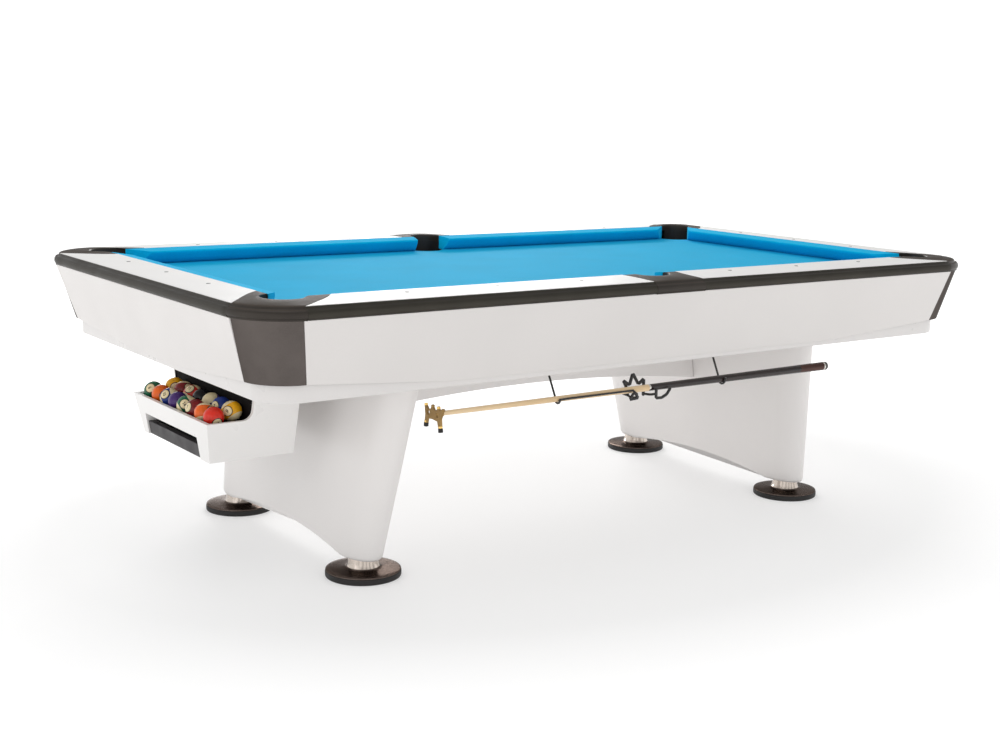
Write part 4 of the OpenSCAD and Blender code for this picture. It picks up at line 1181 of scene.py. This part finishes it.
# balls that lie with their numbers turned away
HIDDEN_NUMBERS = (5, 4, 13, 3, 1, 15, 8, 12)
spots = [(n, (-1171.5, 214 - 60 * i, 449.0)) for i, n in enumerate(FRONT_ROW)]
spots += [(n, (-1114.0, 196 - 65 * i, 457.8)) for i, n in enumerate(BACK_ROW)]
for number, place in spots:
    mesh = bpy.data.meshes.new("ball_%d" % number)
    bm = bmesh.new()
    bmesh.ops.create_uvsphere(bm, u_segments=64, v_segments=32, radius=BALL_R * MM)
    ink_from = len(bm.faces)
    v, f = number_strokes(str(number), 9.0, 1.7)
    made = [bm.verts.new(Vector(p) * MM) for p in v]
    for face in f:
        bm.faces.new([made[i] for i in face])
    bm.to_mesh(mesh)
    bm.free()
    mesh.materials.append(ball_material(number))
    mesh.materials.append(M_INK)
    for i, p in enumerate(mesh.polygons):
        p.use_smooth = True
        p.material_index = 1 if i >= ink_from else 0
    ball = bpy.data.objects.new("ball_%d" % number, mesh)
    bpy.context.scene.collection.objects.link(ball)
    ball.location = Vector(place) * MM
    # each ball has rolled to rest at its own angle, most with a number somewhere near the top or the front
    aim = Vector((-0.75 + rng.uniform(-0.35, 0.35), -0.45 + rng.uniform(-0.5, 0.5), 0.55 + rng.uniform(-0.35, 0.35)))
    ball.rotation_mode = "QUATERNION"
    if number in HIDDEN_NUMBERS:
        aim = Vector((rng.uniform(-0.3, 0.4), rng.uniform(0.5, 1.0), rng.uniform(-0.4, 0.5)))
    turn = aim.to_track_quat("X", "Z")
    roll = Matrix.Rotation(rng.uniform(-1.2, 1.2), 4, "X").to_quaternion()
    ball.rotation_quaternion = turn @ roll
    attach(ball, "ball_set")
    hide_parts("balls")


# ---------------------------------------------------------------- bridge stick

STICK_Y, STICK_Z = -684.0, 503.0


def along_x(part):
    """A lathe about Z, laid along X on the stick's axis."""
    return moved(part, lambda v: (v.z, STICK_Y + v.x, STICK_Z + v.y))


def stick_r(x):
    if x < -48:
        return 6.2 + 3.6 * (x + 772) / 724
    return 9.8 + 3.4 * (x + 48) / 730


def stick_part(name, x0, x1, mat, steps=10, ends=(0, 0), bulge=0.0, replaces=()):
    profile = [(0, x0)]
    if ends[0]:
        profile += [(stick_r(x0) - ends[0], x0), (stick_r(x0) + bulge, x0 + ends[0])]
    for i in range(steps + 1):
        x = x0 + ends[0] + (x1 - x0 - ends[0] - ends[1]) * i / steps
        profile.append((stick_r(x) + bulge, x))
    if ends[1]:
        profile += [(stick_r(x1) - ends[1] * 0.35, x1 - ends[1] * 0.45), (stick_r(x1) - ends[1], x1)]
    profile.append((0, x1))
    return new_object(name, *along_x(lathe(profile, 48)), mat, body="stick", slot="stick_wood", replaces=replaces,
                      sharp=45)


stick_part("stick_shaft", -772, -52, M_MAPLE, 24, replaces=["bridge_stick"])
stick_part("stick_collar", -52, -46, M_RING, 1)
stick_part("stick_butt", -46, 561, M_BUTT, 20)
stick_part("stick_sleeve", 561, 664, M_SLEEVE, 4)
stick_part("stick_ring", 664, 669, M_RING, 1)
stick_part("stick_bumper", 669, 682, M_BUMPER, 2, ends=(0, 3.5))

# Ferrules and rubber tips on the bridge head's cue rests
def head_cap(name, y, z, up, r, tall, mat):
    part = lathe([(0, -tall / 2), (r * 0.8, -tall / 2), (r, -tall / 2 + 0.8), (r, tall / 2 - 0.8), (r * 0.7, tall / 2), (0, tall / 2)], 24)
    way = Vector((0, up[0], up[1])).normalized()
    q = way.to_track_quat("Z", "X")
    return new_object(name, *moved(part, lambda v: Vector((-775.9, STICK_Y + y, STICK_Z + z)) + q @ v), mat, body="stick",
                      slot="head_brass", sharp=45)


for n, (y, z, up) in enumerate([(-36, -36, (0.1, 1)), (34, -32, (-0.1, 1))]):
    head_cap("head_tip_%d" % n, y, z, up, 6.4, 11, M_RUBBER)
    head_cap("head_ferrule_%d" % n, y + up[0] * 8, z + 8.5, up, 5.6, 6.5, M_FERRULE)
for n, (y, z, up) in enumerate([(-48, 19, (-0.3, 1)), (-26, 22, (0, 1)), (2, 22, (0, 1)), (35, 21, (0.2, 1))]):
    head_cap("head_horn_%d" % n, y, z, up, 4.8, 7, M_FERRULE if n % 2 else M_BRASS)

head_socket = along_x(lathe([(6.6, -772.3), (8.8, -772.3), (9.3, -771.4), (9.3, -768), (8.4, -766.5), (8.4, -753),
                             (9.2, -751.5), (9.2, -749.4), (8.6, -748.4), (6.6, -748.4)], 40))
new_object("head_socket", *head_socket, M_FERRULE, body="stick", slot="head_brass", sharp=40)


# ---------------------------------------------------------------- CAD nodes that stay

def paint(name, mat, bevel=0.0, angle=38.0):
    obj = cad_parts[name]
    obj.data.materials.clear()
    obj.data.materials.append(mat)
    if bevel:
        m = obj.modifiers.new("bevel", "BEVEL")
        m.width = bevel * MM
        m.segments = 3
        m.limit_method = "ANGLE"
        m.angle_limit = math.radians(angle)
        m.harden_normals = False
        m.use_clamp_overlap = True


paint("slates", M_SLATE)
paint("slate_frame", M_TIMBER)
paint("sub_rails", M_TIMBER)
paint("pocket_liners", M_LINER)
paint("ball_gully", M_GULLY)
paint("rail_bolts", M_BOLT)
paint("ball_box", M_BOX, 2.2)
paint("ball_tray", M_TRAY)
paint("drawer", M_DRAWER)
paint("bridge_head", M_BRASS, 1.2)
paint("stick_hooks", M_WIRE)

# The spider head on its arm: a crown of five points behind the stick, and two feet in front
CROWN = [(-50, -663, 480), (-50, -663, 526), (-70, -663, 512), (-92, -663, 545), (-103, -663, 512), (-126, -663, 527),
         (-114, -663, 507), (-128, -663, 492), (-108, -663, 484)]
FOOT_LEFT = [(-114, -704, 496), (-103, -704, 482), (-134, -704, 480), (-121, -704, 497), (-114, -704, 496)]
FOOT_RIGHT = [(-34, -701, 499), (-34, -701, 474), (-13, -701, 473), (6, -701, 481), (18, -701, 496)]
LINK_LEFT = [(-110, -663, 484), (-112, -684, 480), (-112, -704, 484)]
LINK_RIGHT = [(-50, -663, 482), (-42, -684, 482), (-34, -701, 486)]


def rod(points, r):
    """A cast rod along straight legs, with its corners slightly rounded."""
    pts = [Vector(p) for p in points]
    soft = [pts[0]]
    for a, b, c in zip(pts, pts[1:], pts[2:]):
        back, on = (a - b), (c - b)
        cut = min(2.6, back.length * 0.3, on.length * 0.3)
        soft += [b + back.normalized() * cut, b + on.normalized() * cut]
    soft.append(pts[-1])
    return tube(soft, r, 14)


new_object("spider_crown", *merge([rod(CROWN, 4.8), rod(FOOT_LEFT, 4.2), rod(FOOT_RIGHT, 4.4), rod(LINK_LEFT, 3.6),
                                     rod(LINK_RIGHT, 3.6)]), M_WIRE,
           slot="black_wire", replaces=["spider_head"], sharp=60)


# ---------------------------------------------------------------- floor, light and camera

def stage_material(name, base, rough, glow, far_glow):
    """Pale paper that is lit from above and glows with painted light of its own, more strongly away from the table, so
    that it reads darker near the table as painted shade.
    """
    mat, nt, b = material(name, base, rough, specular=0.1)
    b.inputs["Emission Color"].default_value = (1, 1, 1, 1)
    co = node(nt, "ShaderNodeTexCoord")
    mp = node(nt, "ShaderNodeMapping")
    mp.inputs["Scale"].default_value = (1 / 1.7, 1 / 1.25, 1)
    nt.links.new(co.outputs["Object"], mp.inputs["Vector"])
    away = node(nt, "ShaderNodeVectorMath", operation="LENGTH")
    nt.links.new(mp.outputs["Vector"], away.inputs[0])
    # painted glow: the floor's emission rises from the table outwards, which leaves painted shade near the table
    nt.links.new(remap(nt, away.outputs["Value"], glow, far_glow, 0.9, 1.7), b.inputs["Emission Strength"])
    col = mix(nt, remap(nt, noise(nt, 0.6, 2.0), 0.0, 1.0), shade(base, 0.995), base)
    nt.links.new(col, b.inputs["Base Color"])
    return mat


mesh = bpy.data.meshes.new("floor")
S = 60.0
mesh.from_pydata([(-S, -S, -0.0002), (S, -S, -0.0002), (S, S, -0.0002), (-S, S, -0.0002)], [], [(0, 1, 2, 3)])
floor = bpy.data.objects.new("floor", mesh)
bpy.context.scene.collection.objects.link(floor)
mesh.materials.append(stage_material("floor_painted_glow", (0.56, 0.56, 0.56), 0.8, 0.44, 0.82))

world = bpy.data.worlds.new("studio")
bpy.context.scene.world = world
world.use_nodes = True
sky = world.node_tree
way = node(sky, "ShaderNodeTexCoord")
split = node(sky, "ShaderNodeSeparateXYZ")
sky.links.new(way.outputs["Generated"], split.inputs[0])
# a white sweep at eye level with a dimmer ceiling, and upright strip lights on the near side
height = remap(sky, split.outputs["Z"], 1.12, 0.62, 0.16, 0.62)
strips = remap(sky, math_node(sky, "SINE", math_node(sky, "MULTIPLY", split.outputs["X"], 15.0)), 0.62, 1.28, -0.6, 0.6)
near = remap(sky, split.outputs["Y"], 1.0, 0.0, -0.25, -0.1)
seen_direct = node(sky, "ShaderNodeLightPath").outputs["Is Camera Ray"]
near = math_node(sky, "MULTIPLY", near, math_node(sky, "SUBTRACT", 1.0, seen_direct))
strips = math_node(sky, "ADD", 1.0, math_node(sky, "MULTIPLY", near, math_node(sky, "SUBTRACT", strips, 1.0)))
sky.links.new(math_node(sky, "MULTIPLY", height, strips), sky.nodes["Background"].inputs["Strength"])
sky.nodes["Background"].inputs["Color"].default_value = (1, 1, 1, 1)


def softbox(name, place, target, size, power, colour=(1, 1, 1)):
    data = bpy.data.lights.new(name, "AREA")
    data.shape = "RECTANGLE"
    data.size, data.size_y = size
    data.energy = power
    data.color = colour
    obj = bpy.data.objects.new(name, data)
    bpy.context.scene.collection.objects.link(obj)
    obj.location = place
    obj.rotation_mode = "QUATERNION"
    obj.rotation_quaternion = (Vector(target) - Vector(place)).to_track_quat("-Z", "Y")
    return obj


softbox("overhead", (-1.4, -0.4, 3.6), (-0.4, 0, 0.8), (2.2, 1.4), 14)
softbox("left_fill", (-5.0, -1.2, 1.4), (0, 0, 0.5), (2.5, 2.0), 11)
softbox("back", (2.3, 4.2, 2.5), (0, -0.4, 0.2), (2.2, 1.0), 95)
softbox("low_back", (0.6, 3.4, 0.42), (0.2, 0, 0.2), (2.4, 0.5), 22)

camera = bpy.data.cameras.new("camera")
camera.sensor_width = 36.0
camera.lens = 53.6
camera.shift_x = -0.045
camera.clip_end = 200
cam = bpy.data.objects.new("camera", camera)
bpy.context.scene.collection.objects.link(cam)
right = Vector((0.8063644, -0.590975, 0.0229122))
up = Vector((0.0902832, 0.1612903, 0.9827687))
back = Vector((-0.5844873, -0.7904011, 0.1834139))
cam.matrix_world = Matrix(((right.x, up.x, back.x, -2.78448), (right.y, up.y, back.y, -3.88207),
                           (right.z, up.z, back.z, 1.31607), (0, 0, 0, 1)))
bpy.context.scene.camera = cam
bpy.context.scene.view_settings.view_transform = "Standard"
